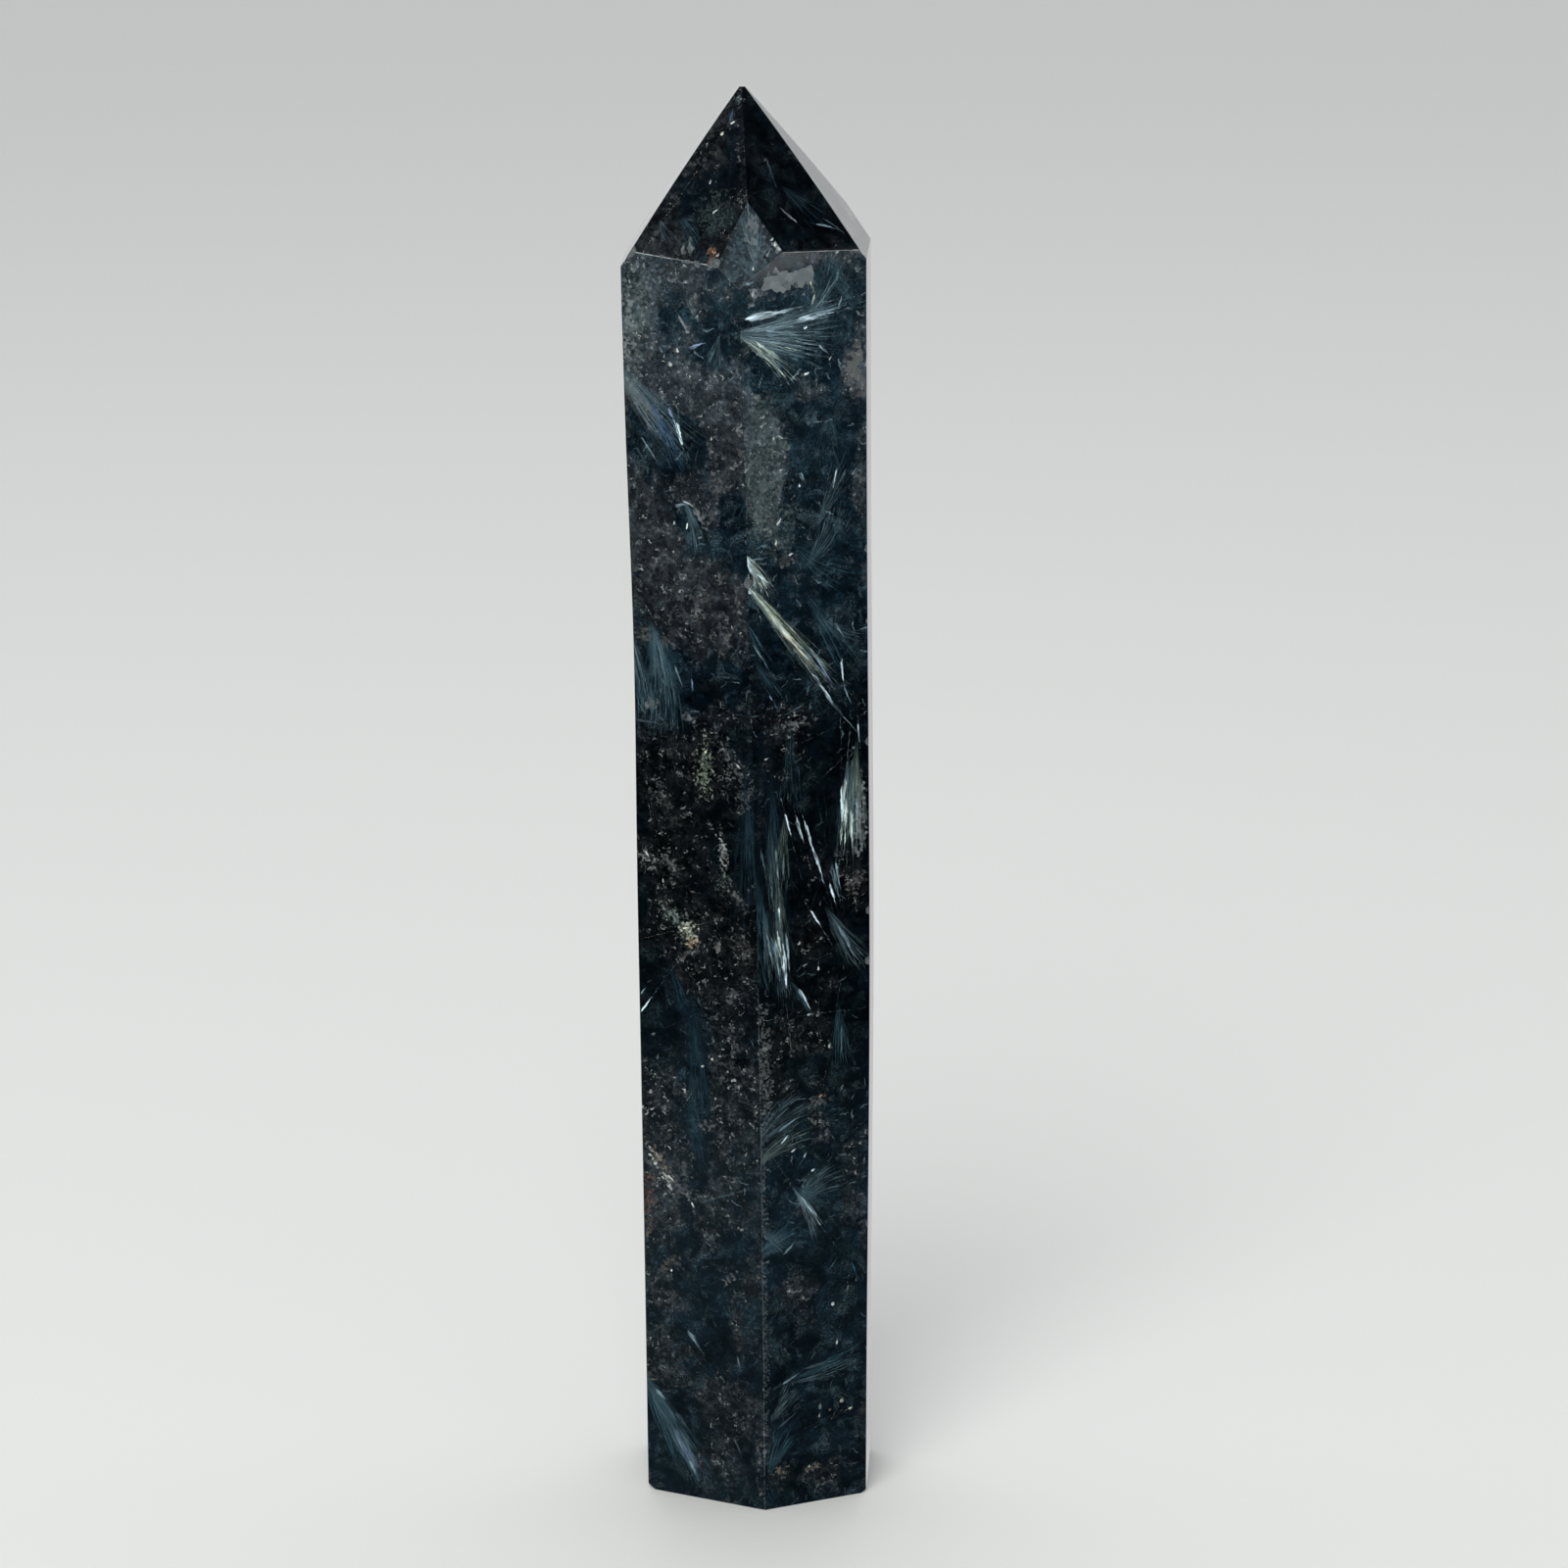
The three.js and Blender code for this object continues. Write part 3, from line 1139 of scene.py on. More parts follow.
def patch(
    middle: Point,
    half: Point,
    tint: Tint,
    strength: float = 0.8,
    turn: float = 0.0,
    ragged: float = 1.0,
    grain: float = 3.0,
) -> Patch:
    """Places a ragged patch.

    Args:
        middle: its middle.
        half: its half sizes along and across its own direction.
        tint: its colour.
        strength: how plainly it shows.
        turn: its direction, in degrees.
        ragged: how torn its edge is.
        grain: how many crystals go to the millimetre.

    Returns:
        The patch.
    """
    way = math.radians(turn)
    tip = (middle[0] + math.cos(way), middle[1] + math.sin(way))
    return Patch(middle, tip, tint, strength, curl=ragged, half=half, grain=grain)


def fleck(at: Point, tint: Tint, turn: float, length: float = 0.6, width: float = 0.35) -> Blade:
    """Places a small bright fleck; a pale one is partly a painted glint.

    Args:
        at: its middle.
        tint: its colour.
        turn: its direction, in degrees.
        length, width: its sizes.

    Returns:
        The fleck, as a short blade.
    """
    way = math.radians(turn)
    across, up = math.cos(way) * length / 2, math.sin(way) * length / 2
    return Blade((at[0] - across, at[1] - up), (at[0] + across, at[1] + up), tint, width=width)


FRONT_LEFT_GROUND = (
    # The upper stretches are lighter, partly their own tone, partly a painted reflection veil.
    Ground((0.0, 150.0), (60.0, 18.0), 0.0, 0.75, glint=0.4),
    Ground((0.0, 128.0), (60.0, 32.0), 0.0, 0.25, glint=-0.3),
    Ground((-3.0, 112.0), (12.0, 6.0), 0.0, -0.3),
    Ground((0.0, 83.0), (60.0, 24.0), 0.0, -1.8, glint=-0.5),
    Ground((0.0, 57.0), (60.0, 13.0), 0.0, -0.6),
    Ground((0.0, 12.0), (60.0, 40.0), 0.0, -0.3, glint=-0.7),
    Ground((-9.0, 146.0), (3.5, 8.0), 0.2),
    Ground((-3.0, 149.0), (5.0, 4.0), 0.2),
    Ground((-4.8, 147.0), (2.2, 4.0), -0.16),
    Ground((1.3, 144.0), (3.2, 2.2), -0.4),
    Ground((-4.0, 138.5), (4.5, 3.2), 0.2),
    Ground((-5.5, 133.0), (5.5, 3.4), -0.4, turn=-35),
    Ground((1.0, 133.0), (3.2, 7.0), 0.3),
    Ground((-3.5, 123.5), (2.0, 3.0), -0.25),
    Ground((2.0, 124.5), (2.2, 4.0), -0.35),
    Ground((-8.0, 121.0), (3.5, 6.0), 0.3),
    Ground((-3.0, 114.0), (8.0, 5.0), 0.3),
    Ground((-6.5, 103.5), (5.5, 5.5), -0.4),
    Ground((1.5, 104.0), (3.0, 6.0), -0.05),
    Ground((-4.0, 90.0), (7.5, 9.5), 0.16, -0.25),
    Ground((-6.5, 76.0), (4.5, 7.0), 0.2, -0.4),
    Ground((1.0, 75.0), (3.2, 9.0), 0.25, -0.6),
    Ground((-8.2, 66.0), (3.8, 7.0), -0.45),
    Ground((-3.6, 54.0), (1.6, 13.0), -0.4),
    Ground((0.8, 56.0), (3.2, 10.0), 0.3),
    Ground((-8.5, 50.0), (3.0, 8.0), 0.15),
    Ground((-8.5, 39.0), (3.0, 6.0), 0.3),
    Ground((0.5, 36.0), (4.0, 9.0), -0.05),
    Ground((-4.5, 26.0), (6.0, 6.0), -0.12),
    Ground((-0.5, 12.0), (4.0, 8.0), 0.1, -0.5),
    Ground((-8.5, 8.0), (4.5, 8.0), -0.5),
)

FRONT_LEFT_MARKS = (
    # Head of the face: a speckled left side, a mauve wedge with a thin edge, and a small pale spindle.
    patch((-9.3, 146.0), (5.5, 1.9), GREEN_GREY, 0.6, 90, 1.6),
    patch((-10.0, 144.6), (5.5, 0.8), ASH, 0.7, 90, 1.9),
    patch((-3.6, 150.6), (3.4, 1.1), MAUVE, 0.6, -38, 0.6),
    Blade((-6.1, 151.9), (-1.9, 148.4), SLATE, 0.7, width=0.16),
    fleck((-9.8, 149.8), CHALK, 110),
    Blade((-4.1, 146.4), (-2.8, 144.3), ASH, 0.9, width=0.5),
    fleck((-2.9, 144.5), ASH, 0, 0.6, 0.6),
    Blade((-2.8, 142.7), (-0.6, 143.6), LAVENDER, 0.9, width=0.45),
    fleck((-4.2, 142.5), CHALK, 90, 0.6, 0.5),
    Spray((0.9, 144.6), (-0.4, 139.8), SLATE, 0.55, fan=22),
    # Teal brush from the left arris, ending in blue flecks.
    Spray((-13.0, 142.6), (-4.0, 129.8), SLATE, 1.0, 0.12, fan=13, streaks=60, haze=0.85),
    Spray((-12.6, 141.4), (-5.0, 130.4), ASH, 0.5, 0.05, fan=10, streaks=90, haze=0.4, bare=0.2),
    patch((-8.0, 136.0), (4.0, 1.0), ASH, 0.45, -56, 2.4),
    Spray((-8.0, 137.4), (-3.6, 128.6), BLUE, 0.7, fan=12, streaks=50, haze=0.3),
    fleck((-5.1, 135.2), LAVENDER, -70, 1.8, 0.45),
    fleck((-4.9, 134.2), BLUE, -60, 1.2, 0.35),
    Blade((-4.7, 134.6), (-3.7, 131.4), ICE, width=0.7),
    Blade((-8.8, 132.5), (-6.8, 129.6), STEEL, 0.55, width=0.3),
    Blade((-9.6, 131.6), (-7.8, 128.6), SLATE, 0.6, width=0.3),
    # Hooked streak and dark wedge.
    Blade((-4.9, 124.9), (-3.0, 125.3), STEEL, 0.7, width=0.5),
    Spray((-4.6, 126.8), (0.1, 120.2), SLATE, 1.0, -0.3, fan=9, streaks=50, haze=0.7),
    patch((-1.9, 123.8), (1.9, 0.5), ASH, 0.7, -52, 1.8),
    Blade((-4.0, 125.6), (-2.4, 124.8), CHALK, 0.7, 0.6, width=0.45),
    fleck((-3.5, 122.8), CHALK, 80, 0.9, 0.3),
    fleck((-5.0, 123.0), ICE, 70, 0.5, 0.3),
    fleck((-1.9, 121.5), ASH, 20),
    patch((-2.4, 112.8), (1.2, 0.6), ROSE, 0.9, 100, 0.9, 2.6),
    patch((-8.0, 109.4), (3.0, 0.9), ROSE, 0.6, -14, 2.2, 4.0),
    # Blue-grey brush that droops from the left.
    Spray((-8.5, 112.0), (-3.6, 99.0), TEAL, 0.95, -0.35, fan=20, streaks=50, haze=0.4),
    Spray((-12.4, 111.4), (-7.6, 98.2), TEAL, 0.95, -0.3, fan=20, streaks=50, haze=0.35),
    Spray((-8.2, 111.6), (-4.2, 98.4), SLATE, 1.0, -0.2, fan=13, streaks=70, haze=-0.3, bare=0.4),
    Spray((-11.4, 111.6), (-7.4, 98.4), SLATE, 0.9, -0.2, fan=13, streaks=70, haze=-0.3, bare=0.4),
    Blade((-5.4, 106.4), (-4.3, 103.6), STEEL, 0.75, width=0.3),
    Blade((-3.3, 105.0), (-3.2, 103.2), LAVENDER, 0.8, width=0.3),
    patch((-8.6, 101.4), (1.3, 0.7), ASH, 0.75, 30, 1.3),
    patch((-3.8, 100.3), (1.1, 0.5), ASH, 0.6, -20, 1.3),
    Blade((-10.8, 99.6), (-6.4, 99.2), SLATE, 0.7, 0.5, width=0.3),
    # Speckled brown ground with green and pink flecks.
    patch((-1.8, 94.6), (2.6, 0.8), GREEN_GREY, 0.5, 88, 2.6, 4.5),
    fleck((-1.7, 96.6), STRAW, 60, 0.7, 0.35),
    fleck((2.3, 95.1), CHALK, -40, 0.9, 0.3),
    fleck((-1.0, 91.3), ROSE, 80, 1.0, 0.3),
    fleck((-9.4, 83.5), CHALK, 120, 0.8, 0.3),
    fleck((-6.0, 83.0), ROSE, 60, 0.9, 0.35),
    fleck((-4.6, 89.5), ASH, 30, 1.0, 0.4),
    fleck((-7.4, 80.4), CHALK, 100, 0.7, 0.25),
    fleck((-8.8, 87.6), ROSE, 45, 0.8, 0.4),
    patch((-4.3, 74.0), (2.3, 1.4), GREEN_GREY, 0.5, 100, 2.0, 4.5),
    patch((-4.3, 74.2), (1.5, 0.9), STRAW, 0.5, 110, 3.0, 4.5),
    patch((-4.0, 73.2), (0.9, 0.6), ORANGE, 0.55, 110, 2.6, 4.5),
    patch((-6.3, 76.2), (1.6, 0.8), PALE_GREEN, 0.3, 140, 3.4, 4.5),
    patch((-7.2, 90.6), (1.7, 0.9), ASH, 0.3, 100, 2.6, 4.5),
    patch((-2.0, 94.2), (2.6, 0.9), GOLD, 0.35, 88, 3.4, 4.5),
    patch((1.6, 95.4), (2.2, 0.8), ASH, 0.4, 120, 3.2, 4.5),
    patch((3.1, 91.6), (1.4, 1.0), ASH, 0.4, 60, 3.0, 4.5),
    patch((0.2, 84.6), (2.0, 0.5), CHALK, 0.4, 95, 3.4, 4.5),
    patch((0.0, 81.2), (1.4, 0.9), GREEN_GREY, 0.4, 60, 2.8, 4.5),
    patch((-9.4, 83.0), (1.2, 0.7), CHALK, 0.3, 120, 3.6, 4.5),
    patch((-6.3, 82.4), (1.2, 0.7), ASH, 0.4, 120, 3.2, 4.5),
    patch((2.2, 73.2), (1.2, 2.0), ROSE, 0.3, 20, 2.8, 4.5),
    patch((-5.6, 75.4), (1.2, 0.7), GREEN_GREY, 0.5, 150, 1.8),
    fleck((-4.7, 74.8), STRAW, 20, 0.8, 0.35),
    fleck((-4.1, 73.0), ORANGE, 70, 0.7, 0.4),
    patch((1.8, 79.0), (1.6, 0.6), ROSE, 0.75, -40, 2.0),
    fleck((0.8, 80.1), CHALK, 70, 0.6, 0.25),
    patch((-0.7, 72.6), (0.8, 0.5), ROSE, 0.85, 90, 0.8),
    patch((1.2, 67.2), (1.2, 0.5), ASH, 0.5, 60, 1.8),
    # Dark blue ground with a white-blue fleck on the left arris.
    Blade((-10.6, 63.6), (-9.2, 65.6), ICE, width=0.5),
    Blade((-10.6, 65.8), (-9.8, 66.9), STEEL, 0.8, width=0.3),
    Spray((3.6, 102.0), (3.4, 68.0), BLUE_BLACK, 0.6, fan=7, streaks=60, haze=0.7),
    Spray((3.4, 92.0), (3.6, 78.0), TEAL, 0.5, fan=9, streaks=90, haze=0.0, bare=0.4),
    Spray((-7.0, 71.5), (-4.2, 58.0), BLUE_BLACK, 0.9, 0.2, fan=10, streaks=22, haze=0.4),
    Spray((-4.4, 68.0), (-3.0, 50.0), BLUE_BLACK, fan=10, streaks=60, haze=0.8),
    Spray((-3.9, 64.0), (-3.0, 50.0), TEAL, 0.5, fan=8, streaks=90, haze=0.2, bare=0.4),
    Spray((-4.6, 58.0), (-3.4, 43.0), TEAL, 0.45, fan=8, streaks=90, haze=0.2, bare=0.4),
    fleck((-1.5, 61.3), GREEN_GREY, 90, 1.0, 0.5),
    fleck((-1.6, 58.8), STRAW, 60, 0.5, 0.4),
    fleck((-2.8, 57.7), CHALK, 30, 0.5, 0.3),
    fleck((-1.3, 53.8), CHALK, 80, 0.5, 0.3),
    fleck((-9.0, 61.0), ASH, 30, 0.9, 0.4),
    fleck((-8.6, 58.2), GREEN_GREY, 80, 0.9, 0.4),
    patch((-2.1, 50.0), (1.0, 0.8), ROSE, 0.6, 0, 1.8),
    # Tan streak, rusty arris and faint lines.
    patch((-8.3, 44.0), (3.6, 0.8), TAN, 1.0, -58, 2.0),
    patch((-8.5, 43.6), (3.0, 0.4), CHALK, 0.6, -58, 2.4),
    patch((-6.0, 41.6), (1.4, 0.5), ROSE, 0.9, -50, 1.8),
    fleck((-8.8, 45.2), CHALK, -60, 1.1, 0.3),
    fleck((-7.2, 42.6), CHALK, -40, 0.9, 0.3),
    fleck((-4.4, 39.5), CHALK, -60, 0.9, 0.25),
    patch((-10.1, 40.0), (4.0, 0.7), RUST, 0.55, 90, 2.2),
    patch((-10.3, 35.5), (2.0, 0.5), TAN, 0.6, 90, 1.8),
    Blade((-3.2, 40.1), (4.2, 43.4), SLATE, 0.6, 0.6, width=0.35),
    fleck((0.4, 42.7), ASH, 110, 0.9, 0.25),
    patch((-7.5, 31.5), (1.6, 1.0), TAN, 0.45, 60, 2.0),
    fleck((-7.4, 30.5), CHALK, 90, 0.4, 0.3),
    patch((0.1, 30.6), (1.2, 0.5), ROSE, 0.7, 60, 1.9),
    # Foot of the face: a small teal blade, then the big blue fan in the left corner.
    Blade((-5.5, 22.8), (-3.4, 20.0), STEEL, 0.95, 0.6, width=0.85),
    Blade((1.1, 20.4), (1.3, 18.5), STEEL, 0.6, width=0.3),
    fleck((-9.4, 20.4), ICE, 95, 0.7, 0.25),
    Blade((-10.9, 15.2), (-8.6, 15.5), TAN, 0.9, width=0.3),
    Spray((-12.4, 18.2), (-4.4, 1.0), TEAL, 1.0, 0.06, fan=13, streaks=50, haze=0.6),
    Spray((-12.0, 17.2), (-5.0, 3.0), SLATE, 0.6, 0.1, fan=10, streaks=90, haze=0.2, bare=0.3),
    Blade((-9.8, 14.0), (-8.3, 12.6), STEEL, 0.85, width=0.6),
    Blade((-7.6, 9.4), (-3.6, 1.2), SLATE, 0.6, 0.3, width=2.4),
    Spray((-8.0, 10.0), (-4.0, 1.6), LAVENDER, 0.6, 0.1, fan=9, streaks=90, haze=-0.2, bare=0.6),
    Blade((-5.6, 5.0), (-4.6, 2.9), STEEL, 0.8, 0.3, width=0.6),
    Blade((-7.4, 11.6), (-5.0, 8.4), SLATE, 0.8, width=0.6),
    patch((-0.8, 14.6), (3.2, 2.4), MAUVE, 0.2, 80, 1.8),
    fleck((-2.6, 10.5), ROSE, 90, 0.9, 0.4),
    Blade((0.5, 9.2), (1.7, 6.0), ROSE, 0.6, 0.4, width=0.35),
)

FRONT_RIGHT_GROUND = (
    # The upper stretches are lighter, partly their own tone, partly a painted reflection veil.
    Ground((0.0, 150.0), (60.0, 18.0), 0.0, 0.7, glint=0.3),
    Ground((0.0, 124.0), (60.0, 32.0), -0.1, 0.7, glint=0.2),
    Ground((0.0, 80.0), (60.0, 36.0), -0.15, -1.95, glint=-0.5),
    Ground((0.0, 12.0), (60.0, 42.0), -0.22, -0.25, glint=-0.7),
    Ground((-1.8, 130.0), (3.4, 15.0), 0.0, 0.4),
    Ground((1.0, 150.5), (5.0, 2.4), -0.05),
    Ground((7.5, 148.5), (4.0, 4.5), -0.3),
    Ground((2.5, 143.5), (7.0, 4.5), -0.4),
    Ground((9.2, 139.0), (2.6, 4.0), 0.3),
    Ground((4.0, 138.0), (3.5, 2.5), 0.15),
    Ground((-1.6, 130.0), (3.0, 9.5), 0.3),
    Ground((6.0, 131.0), (4.4, 7.0), -0.35),
    Ground((9.6, 128.0), (1.6, 5.0), 0.3),
    Ground((-1.0, 121.0), (3.0, 3.0), 0.15),
    Ground((6.5, 120.0), (4.5, 5.0), -0.4),
    Ground((3.5, 109.0), (7.5, 7.0), -0.5),
    Ground((0.5, 98.0), (4.0, 5.5), 0.3),
    Ground((7.5, 97.0), (3.6, 5.0), -0.35),
    Ground((-1.0, 84.0), (3.4, 9.5), -0.45, -0.6),
    Ground((4.8, 89.0), (3.0, 6.0), -0.3),
    Ground((8.8, 80.0), (2.4, 3.5), 0.3, -0.4),
    Ground((3.0, 75.0), (2.4, 6.0), 0.3, -0.4),
    Ground((8.4, 71.0), (2.6, 5.0), -0.4),
    Ground((-1.0, 70.5), (2.6, 6.0), -0.4),
    Ground((2.5, 62.0), (5.5, 4.5), 0.3),
    Ground((-2.0, 57.0), (2.2, 6.0), 0.3, -0.9),
    Ground((8.0, 56.0), (2.8, 10.0), -0.45),
    Ground((-1.2, 42.0), (2.8, 17.0), -0.1, 0.3),
    Ground((0.5, 50.0), (3.6, 4.6), -0.4),
    Ground((3.6, 43.0), (4.0, 5.0), -0.4),
    Ground((8.6, 40.0), (2.4, 7.0), 0.1),
    Ground((-1.0, 36.0), (3.6, 4.5), -0.35),
    Ground((1.0, 28.0), (4.0, 4.0), 0.25),
    Ground((7.5, 30.0), (3.4, 5.5), -0.3),
    Ground((4.5, 19.0), (6.5, 4.0), -0.35),
    Ground((6.5, 11.0), (4.0, 3.5), 0.1),
    Ground((0.0, 12.5), (3.0, 4.0), -0.2),
    Ground((2.5, 4.0), (7.0, 2.6), 0.15, -0.9),
)

FRONT_RIGHT_MARKS = (
    # Flat grey-mauve patch, pale hook and long curved fibres at the head.
    patch((0.2, 149.9), (2.6, 1.3), ASH, 1.0, 25, 0.9, 1.5),
    patch((3.0, 150.4), (2.0, 1.3), ASH, 1.0, -10, 0.9, 1.5),
    patch((1.9, 152.0), (1.8, 0.6), HAZE, 0.8, 8, 0.9, 1.5),
    patch((-2.5, 148.6), (1.1, 0.7), ASH, 0.8, 80, 1.6),
    fleck((-2.5, 149.0), CHALK, 80, 1.0, 0.25),
    Blade((4.0, 149.9), (4.6, 148.2), STRAW, 0.95, 1.2, width=0.35),
    Blade((4.6, 148.5), (4.2, 147.1), STRAW, 0.9, -1.0, width=0.35),
    Spray((3.2, 145.3), (9.4, 152.4), SLATE, 0.8, 0.25, fan=17, streaks=40, haze=-0.1, bare=0.3),
    Blade((4.5, 146.6), (8.0, 151.3), STEEL, 0.6, -1.5, width=0.22),
    Blade((7.3, 146.9), (7.9, 148.5), STEEL, 0.7, width=0.25),
    Spray((6.2, 151.6), (9.0, 146.8), TEAL, 0.5, fan=20, streaks=12),
    # Bright blades and the fan below them.
    Spray((-5.6, 144.2), (8.6, 144.0), SLATE, 0.8, 0.05, fan=24, streaks=40, haze=0.3, bare=0.35),
    Spray((-5.6, 144.7), (5.6, 142.6), STEEL, 0.9, fan=17, streaks=50, haze=-0.1, bare=0.6),
    Spray((-4.8, 144.8), (9.0, 145.8), STEEL, 0.9, 0.1, fan=8, streaks=70, haze=-0.2, bare=0.3),
    Spray((-5.0, 144.8), (3.6, 140.0), PALE_GREEN, 0.7, -0.2, fan=9, streaks=50, haze=-0.2, bare=0.5),
    Blade((-3.5, 146.2), (2.4, 147.0), ICE, width=0.95),
    Blade((-3.4, 146.1), (1.2, 146.6), ICE, width=0.7),
    Blade((0.4, 146.7), (3.6, 147.3), STEEL, 0.9, width=0.35),
    Blade((2.2, 145.7), (7.2, 146.4), ICE, width=0.6),
    Blade((4.2, 146.0), (8.6, 147.2), STEEL, 0.9, width=0.35),
    Blade((-2.4, 143.8), (2.0, 140.4), PALE_GREEN, 0.95, -1.0, width=0.55),
    Blade((-1.6, 143.5), (3.4, 142.2), PALE_GREEN, 0.7, width=0.3),
    Blade((-1.8, 144.9), (4.0, 143.9), STEEL, 0.9, width=0.25),
    Blade((-1.0, 144.2), (4.6, 142.9), STEEL, 0.7, width=0.22),
    fleck((3.5, 144.9), ICE, 20, 0.6, 0.45),
    Blade((5.0, 142.9), (6.4, 141.5), ICE, 0.7, 0.8, width=0.3),
    fleck((6.3, 141.3), CHALK, 60, 0.6, 0.2),
    fleck((3.6, 139.8), CHALK, 20, 0.7, 0.4),
    Blade((2.4, 139.5), (3.5, 137.6), ROSE, 0.6, width=0.25),
    # Mauve patch on the right, green-grey grains on the left.
    patch((9.1, 140.4), (2.4, 1.2), ROSE, 0.85, 68, 1.2, 1.6),
    patch((9.7, 138.2), (1.6, 0.8), ROSE, 0.6, 80, 1.2, 1.6),
    patch((-1.6, 134.8), (2.4, 3.6), GREEN_GREY, 0.3, 0, 2.2, 4.5),
    patch((-1.6, 128.0), (2.8, 4.4), GREEN_GREY, 0.36, 0, 2.2, 4.5),
    patch((-0.6, 123.0), (3.2, 3.0), GREEN_GREY, 0.4, 0, 2.4, 4.5),
    patch((0.6, 132.2), (1.1, 0.6), GREEN_GREY, 0.85, -30, 1.3),
    fleck((0.5, 132.9), ICE, -20, 0.8, 0.25),
    patch((4.0, 134.4), (0.7, 0.45), SLATE, 0.7, 40, 1.2),
    patch((5.4, 133.5), (0.6, 0.4), ROSE, 0.6, 40, 1.2),
    fleck((-3.4, 129.6), CHALK, 50, 1.1, 0.4),
    fleck((-3.3, 128.3), GREEN_GREY, 80, 1.4, 0.6),
    fleck((2.9, 128.2), STEEL, -60, 1.3, 0.55),
    fleck((2.6, 127.4), ICE, 80, 0.6, 0.4),
    fleck((0.2, 123.4), CHALK, 60, 1.1, 0.5),
    fleck((-0.2, 121.1), CHALK, 80, 0.7, 0.3),
    Blade((6.5, 126.6), (7.1, 129.3), ICE, 0.75, width=0.25),
    Spray((4.4, 122.0), (8.8, 131.6), SLATE, 0.6, fan=14, streaks=50, haze=-0.3, bare=0.3),
    Spray((3.2, 118.0), (9.4, 123.8), SLATE, 0.6, 0.3, fan=24, streaks=40, haze=-0.3, bare=0.3),
    patch((1.0, 119.0), (1.2, 0.9), ROSE, 0.6, 30, 1.4),
    fleck((1.5, 119.6), CHALK, 20, 0.5, 0.4),
    Blade((-3.9, 119.2), (-0.6, 119.5), STEEL, 0.7, 1.5, width=0.22),
    # The long gold blade, its pale root on the front arris and its blue tips.
    Spray((-4.0, 120.2), (-0.2, 115.2), PALE_GREEN, 0.7, -0.2, fan=18, streaks=24, haze=-0.1),
    Blade((-4.0, 120.0), (-2.4, 116.6), ICE, 0.9, width=0.6),
    fleck((-3.7, 117.3), ICE, 60, 1.3, 0.9),
    fleck((-3.4, 115.9), ICE, 110, 1.0, 0.6),
    Blade((-2.6, 117.7), (-0.2, 115.8), ICE, 0.8, width=0.25),
    Spray((-5.4, 118.6), (7.4, 102.6), GREEN_GREY, 1.0, 0.0, fan=6.5, streaks=60, haze=0.4),
    Spray((-4.4, 117.4), (4.6, 105.8), GOLD, 0.7, 0.0, fan=3.6, streaks=90, haze=0.3),
    Blade((-3.6, 116.4), (1.6, 109.6), PALE_GREEN, 0.8, 0.2, width=0.5),
    Blade((-1.6, 113.4), (4.6, 105.8), STRAW, 0.65, 0.2, width=0.9),
    Blade((-0.9, 112.6), (2.0, 109.0), ICE, 0.6, 0.0, width=0.4),
    Blade((-2.4, 115.4), (5.6, 106.2), GOLD, 0.75, 0.2, width=0.35),
    Blade((-3.2, 115.4), (2.2, 107.6), GREEN_GREY, 0.9, 0.2, width=0.4),
    Blade((2.0, 109.6), (7.2, 102.8), STEEL, 0.9, width=0.45),
    Blade((3.6, 108.8), (6.9, 103.2), LAVENDER, 0.7, width=0.3),
    Blade((3.9, 105.6), (6.3, 102.2), ICE, width=0.42),
    Blade((5.0, 103.6), (9.7, 97.6), STEEL, 0.9, -0.5, width=0.32),
    Blade((7.4, 107.4), (7.8, 103.2), ICE, 0.8, -0.6, width=0.32),
    Blade((7.7, 103.8), (8.7, 101.4), STEEL, 0.8, width=0.25),
    Blade((9.4, 99.2), (9.6, 96.6), ICE, 0.8, width=0.25),
    Spray((3.0, 115.4), (9.6, 104.4), TEAL, 0.6, fan=16, streaks=50, haze=-0.2, bare=0.3),
    Spray((1.6, 121.0), (8.6, 113.0), TEAL, 0.5, 0.3, fan=20, streaks=50, haze=-0.1, bare=0.3),
    Spray((5.0, 112.0), (9.6, 107.4), SLATE, 0.5, 0.3, fan=20, streaks=40, haze=-0.2, bare=0.3),
    Spray((6.4, 136.0), (4.6, 128.0), TEAL, 0.45, 0.2, fan=24, streaks=50, haze=-0.1, bare=0.3),
    Spray((-4.0, 112.6), (-0.9, 105.4), TEAL, 0.75, fan=13, streaks=14),
    Blade((-3.2, 109.8), (-1.2, 106.4), STEEL, 0.6, width=0.25),
    Spray((-3.4, 108.6), (0.6, 102.0), TEAL, 0.7, fan=13, streaks=50, haze=0.2, bare=0.4),
    fleck((-1.0, 103.1), LAVENDER, -60, 0.9, 0.3),
    fleck((-0.4, 102.0), BLUE, -50, 0.8, 0.3),
    Blade((0.4, 100.9), (4.1, 102.6), SLATE, 0.7, 0.6, width=0.18),
    fleck((6.9, 110.6), STEEL, -60, 0.9, 0.25),
    Blade((6.6, 111.4), (7.9, 109.2), STEEL, 0.5, width=0.3),
    patch((2.0, 99.9), (1.8, 0.6), ASH, 0.55, 10, 2.0),
    fleck((-1.6, 96.0), CHALK, 20, 0.7, 0.3),
    fleck((2.8, 96.6), ROSE, 80, 0.8, 0.3),
    fleck((8.9, 96.4), ICE, 40, 0.5, 0.3),
    # Teal fibres down the middle of the stone, with slivers beside them.
    Spray((-2.0, 106.0), (-1.2, 64.0), BLUE_BLACK, 0.3, fan=9, streaks=60, haze=0.8),
    Spray((1.4, 101.0), (1.0, 88.0), TEAL, 0.4, fan=12, streaks=60, haze=0.2, bare=0.4),
    Spray((-1.2, 94.0), (-0.6, 80.0), TEAL, 0.45, fan=9, streaks=90, haze=0.2, bare=0.4),
    patch((-2.6, 88.6), (2.2, 0.9), MAUVE, 0.35, 85, 2.0, 4.5),
    Spray((0.6, 90.0), (-0.4, 79.0), GREEN_GREY, 0.6, fan=10, streaks=60, haze=-0.1, bare=0.4),
